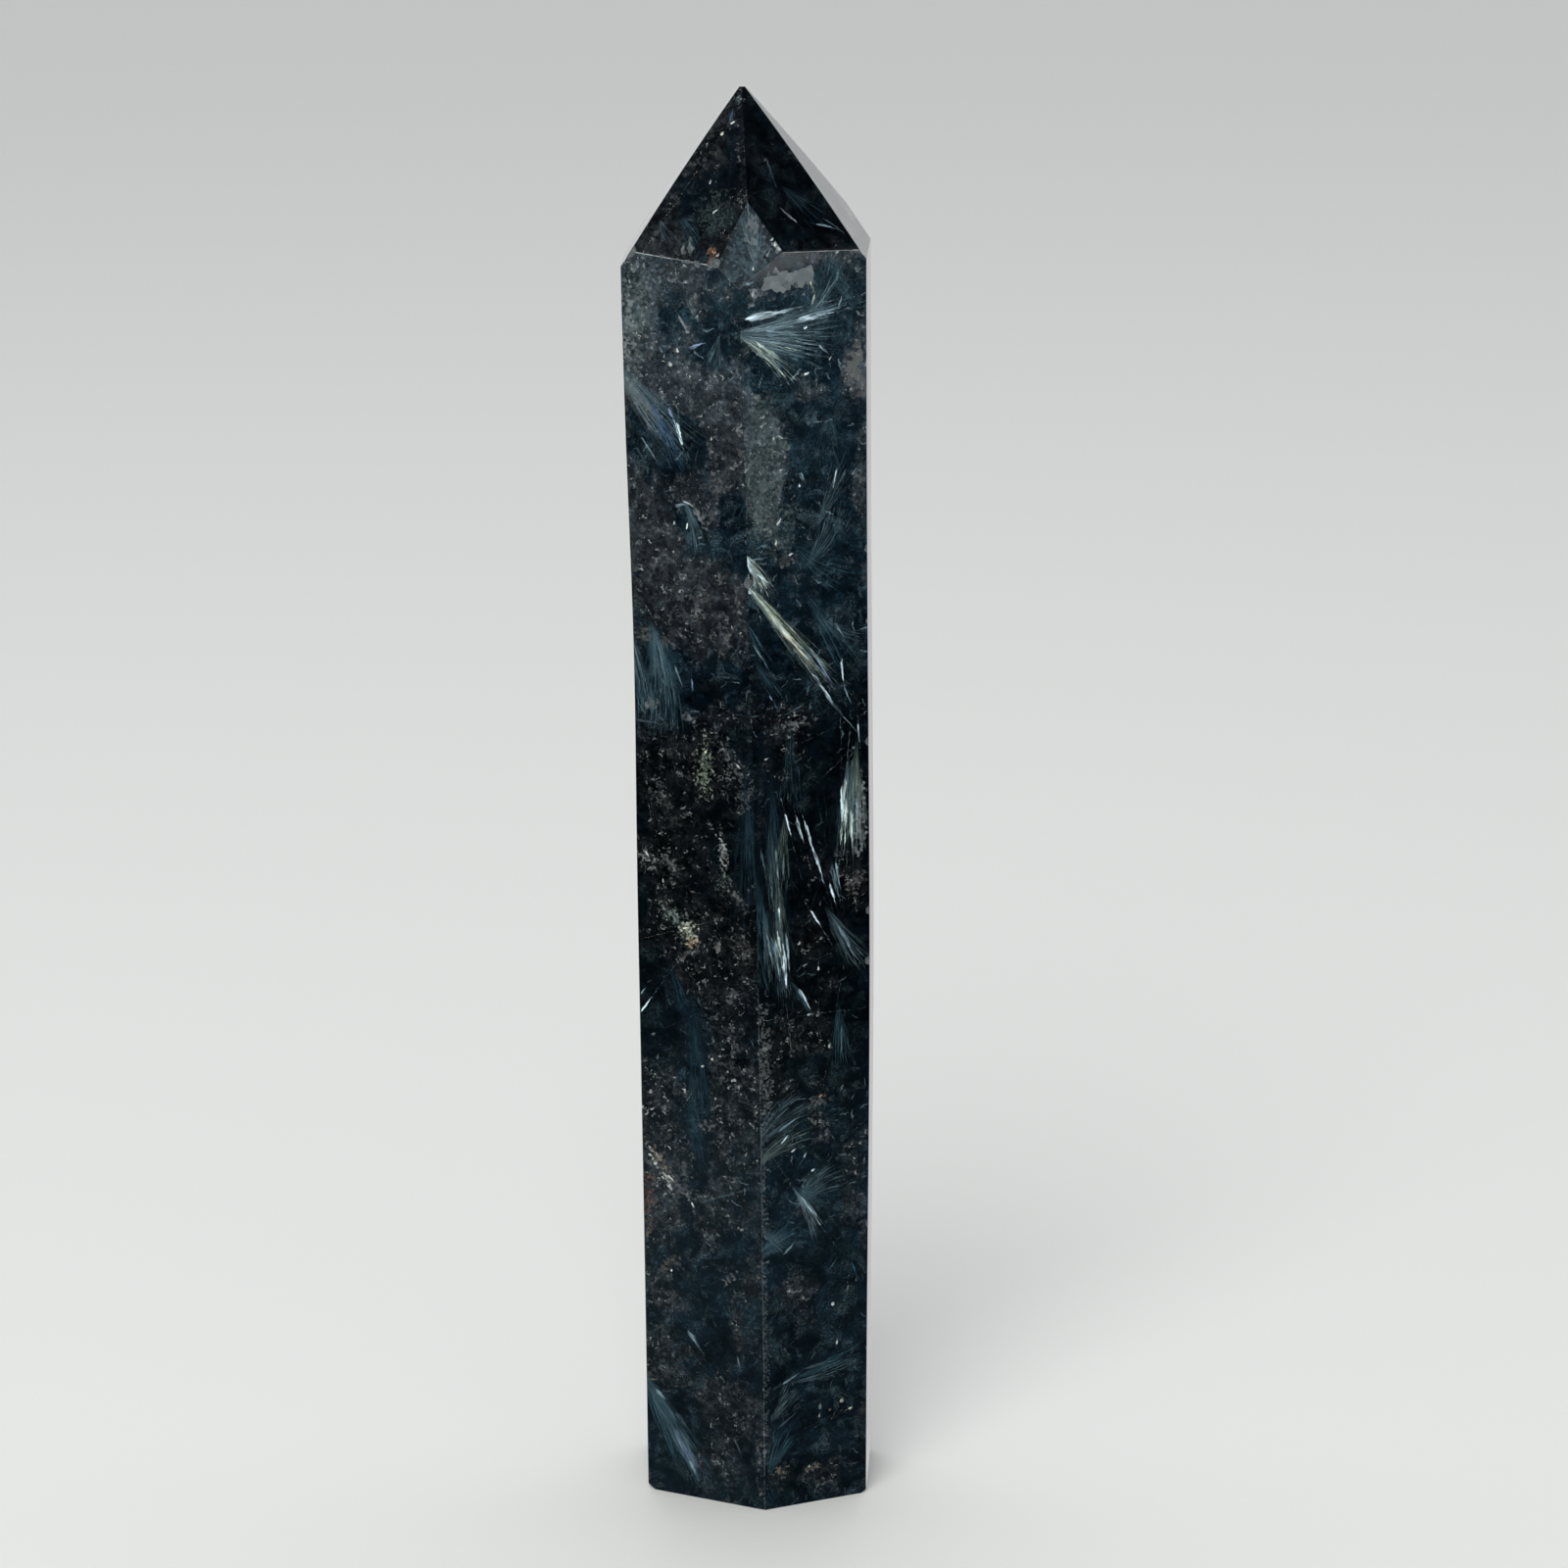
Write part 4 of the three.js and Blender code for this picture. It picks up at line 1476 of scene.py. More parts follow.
    Spray((-1.4, 89.0), (-0.8, 76.0), SLATE, 0.55, fan=8, streaks=90, haze=0.0, bare=0.5),
    Spray((-3.6, 84.0), (-1.6, 70.0), TEAL, 0.7, fan=10, streaks=70, haze=0.1, bare=0.4),
    Spray((-3.8, 78.0), (-2.2, 66.0), TEAL, 0.6, fan=10, streaks=60, haze=-0.2, bare=0.3),
    Spray((-0.6, 83.0), (0.2, 70.0), GREEN_GREY, 0.55, fan=9, streaks=80, haze=0.0, bare=0.4),
    Blade((-2.5, 85.4), (-1.7, 80.6), SLATE, 0.8, width=0.4),
    Blade((-0.7, 85.4), (-0.3, 80.2), STEEL, 0.8, width=0.25),
    Blade((0.3, 84.6), (0.2, 80.4), STEEL, 0.75, width=0.25),
    Blade((-1.4, 82.8), (-1.0, 77.6), SLATE, 0.9, width=0.3),
    Blade((0.5, 89.3), (1.2, 86.4), ICE, width=0.42),
    Blade((1.8, 88.9), (2.7, 85.4), ICE, width=0.46),
    Blade((2.8, 88.2), (4.1, 83.6), ICE, 0.9, width=0.42),
    Blade((3.8, 84.9), (5.3, 80.0), ICE, width=0.4),
    Blade((6.1, 82.6), (7.2, 77.6), SLATE, width=0.8),
    Blade((6.6, 82.8), (7.3, 78.8), STEEL, width=0.4),
    Blade((5.9, 80.2), (6.6, 77.4), ICE, 0.9, width=0.4),
    # Whitish-green strokes and olive grains by the right arris.
    Spray((9.2, 98.0), (9.0, 81.0), GREEN_GREY, 0.9, fan=9, streaks=30, haze=0.7),
    patch((9.6, 88.0), (5.0, 0.9), ASH, 0.7, 88, 1.4),
    Spray((8.2, 96.0), (7.8, 82.0), SLATE, 0.95, fan=9, streaks=50, haze=0.4),
    Blade((7.9, 92.8), (7.1, 84.0), PALE_GREEN, width=0.6),
    Blade((7.4, 92.0), (7.5, 86.0), ICE, width=0.45),
    Blade((7.9, 90.4), (7.7, 83.4), PALE_GREEN, width=0.6),
    Blade((8.5, 89.0), (8.7, 83.0), PALE_GREEN, width=0.6),
    Blade((9.3, 91.2), (9.2, 85.0), STEEL, 0.8, width=0.4),
    patch((8.9, 80.2), (1.6, 1.0), ROSE, 0.55, 60, 2.1),
    # White-blue blades low in the teal, and a brush to their right.
    Blade((-0.4, 78.4), (-0.2, 74.4), ICE, width=0.3),
    Spray((-2.4, 79.0), (-1.0, 68.0), SLATE, 0.8, fan=8, streaks=90, haze=0.1, bare=0.4),
    Spray((-0.8, 80.0), (0.4, 65.6), SLATE, 0.9, fan=6, streaks=120, haze=0.2, bare=0.45),
    Blade((-0.6, 75.2), (0.1, 69.4), PALE_GREEN, 1.0, 0.3, width=0.5),
    Blade((0.1, 73.6), (0.5, 66.2), ICE, 1.0, 0.3, width=0.5),
    Blade((-0.9, 74.4), (-0.3, 68.2), STEEL, width=0.45),
    Blade((0.5, 74.8), (0.9, 69.4), STEEL, width=0.45),
    Blade((-1.9, 75.2), (-1.0, 69.8), STEEL, 0.7, width=0.35),
    Blade((-1.3, 74.6), (-0.7, 70.4), SLATE, 0.9, width=0.35),
    Blade((3.5, 77.2), (4.9, 74.8), ICE, 0.95, width=0.4),
    fleck((4.7, 78.0), ROSE, 80, 0.8, 0.3),
    Spray((5.0, 78.0), (10.0, 68.0), SLATE, 0.9, 0.1, fan=14, streaks=60, haze=0.0, bare=0.4),
    Blade((6.9, 75.0), (9.2, 70.2), STEEL, 0.7, width=0.5),
    Spray((0.8, 69.0), (3.8, 64.4), TEAL, 0.9, fan=12, streaks=14),
    Blade((1.9, 67.8), (3.5, 64.6), ICE, 0.9, 1.0, width=0.4),
    fleck((3.4, 64.3), ICE, 0, 0.8, 0.3),
    fleck((2.1, 73.4), CHALK, 70, 0.7, 0.25),
    fleck((2.8, 70.6), ASH, 20, 0.9, 0.4),
    fleck((4.4, 70.0), CHALK, 90, 0.6, 0.25),
    patch((-2.4, 58.0), (7.0, 0.9), ASH, 0.4, 92, 2.8, 4.5),
    patch((-2.8, 44.0), (10.0, 0.5), ASH, 0.3, 90.5, 3.0, 4.5),
    patch((-2.7, 24.0), (14.0, 0.4), ASH, 0.25, 90.5, 3.4, 4.5),
    # Brown ground, then fans that spring from the front arris.
    patch((4.3, 53.3), (1.4, 0.8), ROSE, 0.45, 20, 2.0),
    fleck((4.6, 53.9), ORANGE, 30, 0.6, 0.35),
    Spray((6.8, 66.0), (7.4, 55.6), TEAL, 0.8, fan=13, streaks=50, haze=0.2, bare=0.3),
    Blade((7.3, 62.6), (7.1, 57.4), SLATE, 0.7, width=0.4),
    fleck((5.8, 60.2), PALE_GREEN, 80, 1.0, 0.4),
    Spray((-4.6, 47.2), (1.0, 56.2), SLATE, 0.65, -0.35, fan=20, streaks=36, haze=0.3, bare=0.25),
    Spray((-4.2, 45.4), (2.0, 51.8), GREEN_GREY, 0.8, -0.3, fan=16, streaks=44, haze=0.0, bare=0.3),
    Blade((-0.8, 50.0), (2.4, 51.9), STEEL, 0.8, 0.8, width=0.32),
    Blade((-0.4, 48.4), (0.6, 49.6), ICE, 0.9, width=0.32),
    fleck((1.2, 47.4), CHALK, 30, 0.8, 0.3),
    fleck((2.6, 46.6), ICE, 60, 0.7, 0.35),
    Spray((1.0, 39.4), (5.2, 46.0), SLATE, 0.9, -0.4, fan=24, streaks=34, haze=0.1, bare=0.3),
    Spray((1.0, 42.8), (5.2, 39.4), TEAL, 0.9, 0.2, fan=22, streaks=30, haze=0.3, bare=0.2),
    Spray((0.6, 43.2), (5.4, 36.2), STEEL, 0.7, -0.2, fan=7, streaks=90, haze=-0.1, bare=0.4),
    fleck((3.6, 44.5), ICE, 40, 0.5, 0.35),
    Blade((2.0, 41.4), (4.9, 37.2), STEEL, 0.9, -0.3, width=0.6),
    Blade((2.8, 39.9), (4.7, 36.8), ICE, 0.7, width=0.3),
    Spray((-4.4, 33.0), (1.6, 39.8), TEAL, 0.9, -0.3, fan=22, streaks=34, haze=0.3, bare=0.25),
    Spray((-3.4, 38.0), (1.0, 34.2), SLATE, 0.5, fan=20, streaks=34, haze=0.1, bare=0.3),
    Blade((-0.2, 34.0), (1.4, 35.7), STEEL, 0.8, width=0.3),
    # Scattered specks and a level brush near the foot.
    fleck((0.4, 29.2), CHALK, 60, 0.6, 0.4),
    fleck((6.0, 26.6), CHALK, 40, 0.6, 0.45),
    fleck((7.9, 28.4), TAN, 80, 1.1, 0.35),
    fleck((9.0, 29.4), TAN, 80, 0.8, 0.3),
    fleck((6.5, 21.4), PALE_GREEN, 80, 0.7, 0.35),
    Blade((8.4, 31.8), (9.4, 28.8), BLUE, 0.6, width=0.4),
    Spray((0.2, 17.2), (10.6, 19.4), TEAL, 0.95, 0.1, fan=10, streaks=60, haze=0.3, bare=0.2),
    Spray((0.0, 16.8), (9.8, 17.2), SLATE, 0.6, 0.15, fan=9, streaks=70, haze=-0.1, bare=0.3),
    Blade((-0.6, 16.8), (2.4, 18.4), STEEL, 0.75, 0.6, width=0.4),
    Blade((2.0, 18.4), (9.4, 19.4), SLATE, 0.7, 0.5, width=0.45),
    Spray((-2.4, 11.6), (1.6, 16.6), SLATE, 0.6, fan=20, streaks=30, haze=0.2, bare=0.2),
    Blade((-1.2, 13.4), (0.6, 15.2), SLATE, 0.8, 0.5, width=0.35),
    Blade((-1.4, 10.8), (1.8, 13.2), SLATE, 0.7, 0.5, width=0.35),
    Spray((-2.6, 4.0), (-0.4, 12.6), TEAL, 0.8, -0.2, fan=18, streaks=40, haze=0.4, bare=0.2),
    fleck((4.2, 11.8), CHALK, 70, 0.6, 0.35),
    fleck((4.3, 13.2), GREEN_GREY, 80, 1.2, 0.45),
    fleck((7.1, 13.4), STRAW, 60, 0.8, 0.5),
    fleck((8.3, 12.1), STRAW, 20, 0.7, 0.45),
    fleck((7.0, 12.0), TAN, 20, 0.8, 0.4),
    fleck((5.6, 12.4), TAN, 40, 0.6, 0.35),
    Blade((6.2, 10.4), (9.4, 10.9), TEAL, 0.8, width=0.35),
    patch((3.2, 4.8), (1.2, 0.5), TAN, 0.8, 20, 1.8),
    patch((-0.9, 5.2), (1.2, 0.7), TAN, 0.65, 30, 2.0),
    fleck((2.8, 5.2), STRAW, 60, 0.5, 0.3),
)

TIP_LEFT_GROUND = (
    Ground((-3.0, 160.0), (30.0, 30.0), 0.05, -0.6, glint=-1.0),
    Ground((-2.0, 159.0), (3.4, 6.5), -0.3, -0.3),
    Ground((-8.0, 156.0), (3.0, 4.0), 0.25),
    Ground((-3.4, 162.5), (3.0, 4.0), 0.25, 0.2),
)

TIP_LEFT_MARKS = (
    fleck((-1.7, 165.3), STRAW, 60, 0.6, 0.5),
    fleck((-0.7, 166.4), CHALK, 30, 0.6, 0.3),
    Blade((-1.1, 166.6), (-0.9, 168.0), BLUE, 0.9, width=0.3),
    patch((-3.2, 162.2), (0.8, 0.6), MAUVE, 0.8, 0, 1.2),
    patch((-1.3, 157.4), (2.2, 2.0), GREEN_GREY, 0.22, 60, 2.2, 4.5),
    fleck((-1.1, 157.4), CHALK, 40, 0.8, 0.3),
    fleck((-2.2, 160.4), CHALK, 80, 0.6, 0.25),
    patch((-3.6, 153.6), (1.1, 0.7), ASH, 0.7, 60, 1.5),
    Spray((-4.8, 156.8), (-2.4, 152.8), TEAL, 0.6, fan=26, streaks=9),
    patch((-0.9, 153.3), (0.6, 0.45), ORANGE, 0.85, 30, 1.2),
    patch((-0.6, 152.7), (0.7, 0.5), RUST, 0.95, 10, 1.2),
    fleck((-0.1, 153.0), CHALK, 60, 0.6, 0.3),
    Blade((-0.4, 168.2), (-0.3, 169.8), TEAL, 0.9, width=0.35),
    Spray((-7.5, 156.5), (-5.0, 153.0), SLATE, 0.35, fan=30, streaks=9),
    fleck((-9.8, 153.0), ROSE, 20, 0.6, 0.3),
)

TIP_RIGHT_GROUND = (
    Ground((3.0, 160.0), (30.0, 30.0), -0.1, -1.6, glint=-0.95),
    Ground((3.5, 158.0), (5.0, 5.0), -0.3),
    Ground((4.6, 163.5), (2.0, 2.5), 0.2),
)

TIP_RIGHT_MARKS = (
    patch((4.4, 163.4), (1.8, 0.8), MAUVE, 0.5, -48, 1.5),
    Blade((1.5, 157.6), (3.2, 155.9), ASH, 0.8, 1.0, width=0.5),
    Blade((5.2, 155.9), (7.8, 155.1), STEEL, 0.75, 0.8, width=0.35),
    Blade((6.2, 156.4), (8.6, 154.6), SLATE, 0.5, width=0.3),
    Spray((2.0, 160.0), (6.4, 155.4), TEAL, 0.3, fan=22, streaks=30, haze=-0.3, bare=0.3),
    Blade((0.9, 163.0), (1.7, 159.0), SLATE, 0.35, width=0.3),
)

# The head's raised tone is partly its own, partly a painted reflection veil.
HEAD_GROUND = (Ground((0.4, 152.0), (16.0, 24.0), -0.3, 0.8),)

HEAD_MARKS = (
    patch((0.4, 152.0), (5.0, 3.4), SLATE, 0.5, 0, 1.2),
    Spray((0.9, 151.0), (0.3, 160.6), SLATE, 0.6, fan=22, streaks=16, haze=0.2),
    patch((0.6, 155.6), (2.6, 1.2), ASH, 0.45, 95, 1.9),
    patch((3.2, 153.9), (1.0, 0.5), CHALK, 0.8, 20, 1.6),
    fleck((2.7, 154.6), CHALK, 30, 0.7, 0.3),
    fleck((2.2, 153.1), ASH, 60, 0.8, 0.35),
    fleck((0.9, 152.4), ASH, 60, 0.5, 0.3),
    fleck((0.5, 151.6), CHALK, 80, 0.5, 0.22),
    fleck((-1.4, 151.9), ASH, 20, 0.5, 0.25),
)


DRAWN_FACES = {
    "column0": (FRONT_RIGHT_GROUND, FRONT_RIGHT_MARKS),
    "column5": (FRONT_LEFT_GROUND, FRONT_LEFT_MARKS),
    "tip0": (TIP_RIGHT_GROUND, TIP_RIGHT_MARKS),
    "tip5": (TIP_LEFT_GROUND, TIP_LEFT_MARKS),
    "head": (HEAD_GROUND, HEAD_MARKS),
}


@dataclass(frozen=True)
class ScatteredFace:
    """Markings of an unseen face, strewn by dice.

    Args:
        left, right: its edges, across the face.
        low, high: the heights that the markings keep between.
        sprays, blades, patches: how many of each there are.
        seed: what the dice start from.
    """

    left: float
    right: float
    low: float
    high: float
    sprays: int
    blades: int
    patches: int
    seed: int

    def marks(self) -> tuple[Mark, ...]:
        """Strews the markings: patches first, then sprays with blades in them.

        Returns:
            The markings, the lowest first.
        """
        dice = random.Random(self.seed)
        strewn: list[Mark] = []
        for _ in range(self.patches):
            tint = dice.choice((GREEN_GREY, ROSE, ASH, TAN, MAUVE))
            half = (dice.uniform(0.8, 2.6), dice.uniform(0.5, 1.3))
            place, strength = self._place(dice), dice.uniform(0.5, 0.9)
            strewn.append(patch(place, half, tint, strength, dice.uniform(0, 180), 1.8))
        for _ in range(self.sprays):
            root = self._place(dice)
            tint = dice.choice((TEAL, SLATE, SLATE, GREEN_GREY, STEEL))
            reach, fan = dice.uniform(7, 21), dice.uniform(6, 20)
            tip = self._off(dice, root, reach)
            strength, curl = dice.uniform(0.7, 1.0), dice.uniform(-0.35, 0.35)
            haze, bare = dice.uniform(-0.1, 0.5), dice.uniform(0.1, 0.5)
            strewn.append(Spray(root, tip, tint, strength, curl, fan, 800 / fan, haze, bare))
            for _ in range(self.blades):
                glint = dice.choice((ICE, STEEL, STEEL, LAVENDER, PALE_GREEN))
                run, rise = tip[0] - root[0], tip[1] - root[1]
                start = (root[0] + run * dice.uniform(0.1, 0.6), root[1] + rise * dice.uniform(0.1, 0.6))
                way = math.atan2(rise, run) + math.radians(dice.uniform(-fan, fan) / 2)
                far = dice.uniform(1.5, 6.5)
                end = (start[0] + math.cos(way) * far, start[1] + math.sin(way) * far)
                strength, width = dice.uniform(0.7, 1.0), dice.uniform(0.25, 0.7)
                strewn.append(Blade(start, end, glint, strength, width=width))
        return tuple(strewn)

    def grounds(self) -> tuple[Ground, ...]:
        """Strews the stretches of ground, by turns fibrous and granular.

        Returns:
            The stretches.
        """
        dice = random.Random(self.seed + 500)
        strewn = []
        thirds = int((self.high - self.low) // 50)
        for third in range(thirds):
            middle = (0.0, self.low + (self.high - self.low) * (third + 0.5) / thirds)
            tone, glint = dice.uniform(-1.4, 0.3), dice.uniform(-0.9, -0.1)
            strewn.append(Ground(middle, (60.0, 40.0), dice.uniform(-0.25, 0.0), tone, glint=glint))
        for lean in (-0.4, 0.3) * ((self.sprays + 1) // 2):
            half = (dice.uniform(5, 13), dice.uniform(3, 6))
            tone, turn = dice.uniform(-0.6, 0.4), dice.gauss(90, 30)
            strewn.append(Ground(self._place(dice), half, lean, tone, turn, dice.uniform(-0.4, 0.3)))
        return tuple(strewn)

    def _place(self, dice: random.Random) -> Point:
        """Returns a random place on the face."""
        return dice.uniform(self.left, self.right), dice.uniform(self.low, self.high)

    def _off(self, dice: random.Random, root: Point, reach: float) -> Point:
        """Finds a place at a distance from another, more often up or down than across, and off neither end.

        Args:
            dice: the dice.
            root: the other place.
            reach: the distance.

        Returns:
            The place.
        """
        way = dice.choice((-1, 1)) * math.radians(dice.gauss(90, 32))
        rise = math.sin(way) * reach
        if not self.low < root[1] + rise < self.high:
            rise = -rise
        return root[0] + math.cos(way) * reach, root[1] + rise


# ---------------------------------------------------------------- finishes


@dataclass(frozen=True)
class Polish:
    """The polish of a surface.

    Args:
        index: how strongly the stone bends light.
        shine: the reflection seen face on; 0.5 is what the index gives.
        relief: the depth of the fine relief, in metres.
    """

    index: float = 1.55
    shine: float = 0.45
    relief: float = 1.2e-5


class Surface:
    """A material in the making, and the places that its patterns are read at."""

    def __init__(self, name: str, azimuth: float = 0.0) -> None:
        """Makes the empty material.

        Args:
            name: its name.
            azimuth: the way that its face looks.
        """
        self.azimuth = azimuth
        self.material = bpy.data.materials.new(name)
        self.material.use_nodes = True
        self.material.node_tree.nodes.clear()
        self.graph = Graph(self.material.node_tree)
        self.here = self.graph.add("TexCoord").outputs["Object"]
        self.place = self.graph.add("Mapping", {"Vector": self.here, "Scale": (1 / MM,) * 3}).outputs[0]

    def flat(self) -> Socket:
        """Returns the place across the face and up the stone, in millimetres."""
        turn = (math.pi / 2, 0, math.radians(self.azimuth))
        return self.graph.within(self.here, (0, 0, 0), turn, (MM,) * 3)

    def shade(self, color: Socket, rough: Socket, relief: Socket, polish: Polish) -> bpy.types.Material:
        """Ends the material in its shader.

        Args:
            color, rough, relief: what the patterns give.
            polish: the surface's polish.

        Returns:
            The finished material.
        """
        bump = {"Height": relief, "Distance": polish.relief, "Strength": 1.0}
        feeds = {
            "Base Color": color,
            "Roughness": rough,
            "Normal": self.graph.add("Bump", bump).outputs[0],
            "IOR": polish.index,
            "Specular IOR Level": polish.shine,
        }
        shader = self.graph.add("BsdfPrincipled", feeds)
        self.graph.add("OutputMaterial", {"Surface": shader.outputs[0]})
        return self.material


class StoneFinish:
    """Makes the stone's materials from one set of tools."""

    def __init__(self, polish: Polish) -> None:
        """Makes the tools that every face shares.

        Args:
            polish: the polish of the faces.
        """
        self.polish = polish
        self.matrix = matrix_tool()
        self.ground = ground_tool()
        self.tools = {Spray: spray_tool(), Blade: blade_tool(), Patch: patch_tool()}

    def face(
        self, name: str, azimuth: float, grounds: tuple[Ground, ...], marks: tuple[Mark, ...]
    ) -> bpy.types.Material:
        """Makes the material of a stretch of one face.

        Args:
            name: the material's name.
            azimuth: the way the face looks.
            grounds: where its ground leans.
            marks: what is drawn on it, the lowest first.

        Returns:
            The material.
        """
        surface = Surface(name, azimuth)
        g, flat = surface.graph, surface.flat()
        lean: Value = (0.0, 0.0, 0.0)
        for ground in grounds:
            lean = self.ground.use(g, {"Place": g.after(flat, lean), "Before": lean} | ground.feeds())[0]
        _, wobble = g.clouds(flat, 2.6, 2.0, 0.65, flat=True)
        shaken, wandering = (g.pushed(flat, wobble, far) for far in (SHAKE, WOBBLE))
        places = {"Place": g.after(surface.place, lean), "Flat": g.after(shaken, lean)}
        matrix = self.matrix.use(g, places | {"Lean": lean})
        color = matrix["Color"]
        for mark in marks:
            below = {"Place": g.after(wandering, color), "Color": color}
            color = self.tools[type(mark)].use(g, below | mark.feeds())[0]
        return surface.shade(color, matrix["Roughness"], matrix["Relief"], self.polish)

    def fracture(self) -> bpy.types.Material:
        """Makes the dull, paler material of the chips.

        Returns:
            The material.
        """
        surface, g, place, dark = self._bare("fracture", (0.1, 0.0, 0.0))
        crushed = g.span(g.noise(place, 3.2, 3.0, 0.7), 0.35, 0.65, 0.25, 0.75)
        color = g.blend(crushed, dark, ASH)
        rough = g.span(g.noise(place, 2.0, 2.0, 0.6), 0.3, 0.7, 0.38, 0.6)
        return surface.shade(color, rough, g.noise(place, 4.0, 3.0, 0.7), Polish(relief=6e-5))

    def shoulder_arris(self) -> bpy.types.Material:
        """Makes the painted highlight along the shoulders: a bright, slightly broken chalky line.

        Returns:
            The material.
        """
        surface, g, place, dark = self._bare("shoulder_arris", (0.1, 0.0, 0.0))
        broken = g.span(g.noise(place, 1.1, 3.0, 0.7), 0.4, 0.6, 0.35, 0.95)
        # The chalk line is a painted highlight, where the shoulder bevel would catch the light.
        color = g.blend(broken, dark, CHALK)
        rough = g.span(broken, 0.3, 1.0, 0.15, 0.4)
        return surface.shade(color, rough, g.noise(place, 4.0, 2.0, 0.6), self.polish)

    def front_arris(self) -> bpy.types.Material:
        """Makes the front arris: a dark line above, dusty below.

        Returns:
            The material.
        """
        surface, g, place, dark = self._bare("front_arris", (0.0, -0.6, -1.0))
        dusty = g.span(g.parts(place)[2], 58.0, 78.0, 0.9, 0.0)
        broken = g.times(dusty, g.span(g.noise(place, 1.6, 4.0, 0.75), 0.36, 0.6))
        color = g.blend(broken, dark, ASH)
        rough = g.span(broken, 0.0, 0.6, 0.08, 0.3)
        return surface.shade(color, rough, g.noise(place, 4.0, 2.0, 0.6), self.polish)

    def sawn_base(self) -> bpy.types.Material:
        """Makes the ground, unpolished material of the base, with the arcs that the lap left.

        Returns:
            The material.
        """
        surface, g, place, dark = self._bare("sawn_base", (0.02, 0.0, 0.0), level=True)
        x, y, _ = g.parts(place)
        bow = g.math("SQRT", g.plus(g.math("POWER", g.plus(x, 60.0), 2.0), g.math("POWER", y, 2.0)))
        arcs = g.noise(g.join(g.times(bow, 5.0), g.times(y, 0.05)), 1.0, 3.0, 0.6, flat=True)
        color = g.blend(g.span(arcs, 0.35, 0.65, 0.05, 0.22), dark, ASH)
        return surface.shade(color, g.span(arcs, 0.3, 0.7, 0.32, 0.5), arcs, Polish(relief=2e-5))

    def _bare(self, name: str, lean: Spot, level: bool = False) -> tuple[Surface, Graph, Socket, Socket]:
        """Starts a material without markings.

        Args:
            name: its name.
            lean: its lean, tone and glint.
            level: whether it lies level, where the place needs no turning.

        Returns:
            Its surface and graph, the place, and the ground's colour.
        """
        surface = Surface(name)
        flat = surface.place if level else surface.flat()
        matrix = self.matrix.use(surface.graph, {"Place": surface.place, "Flat": flat, "Lean": lean})
        return surface, surface.graph, surface.place, matrix["Color"]


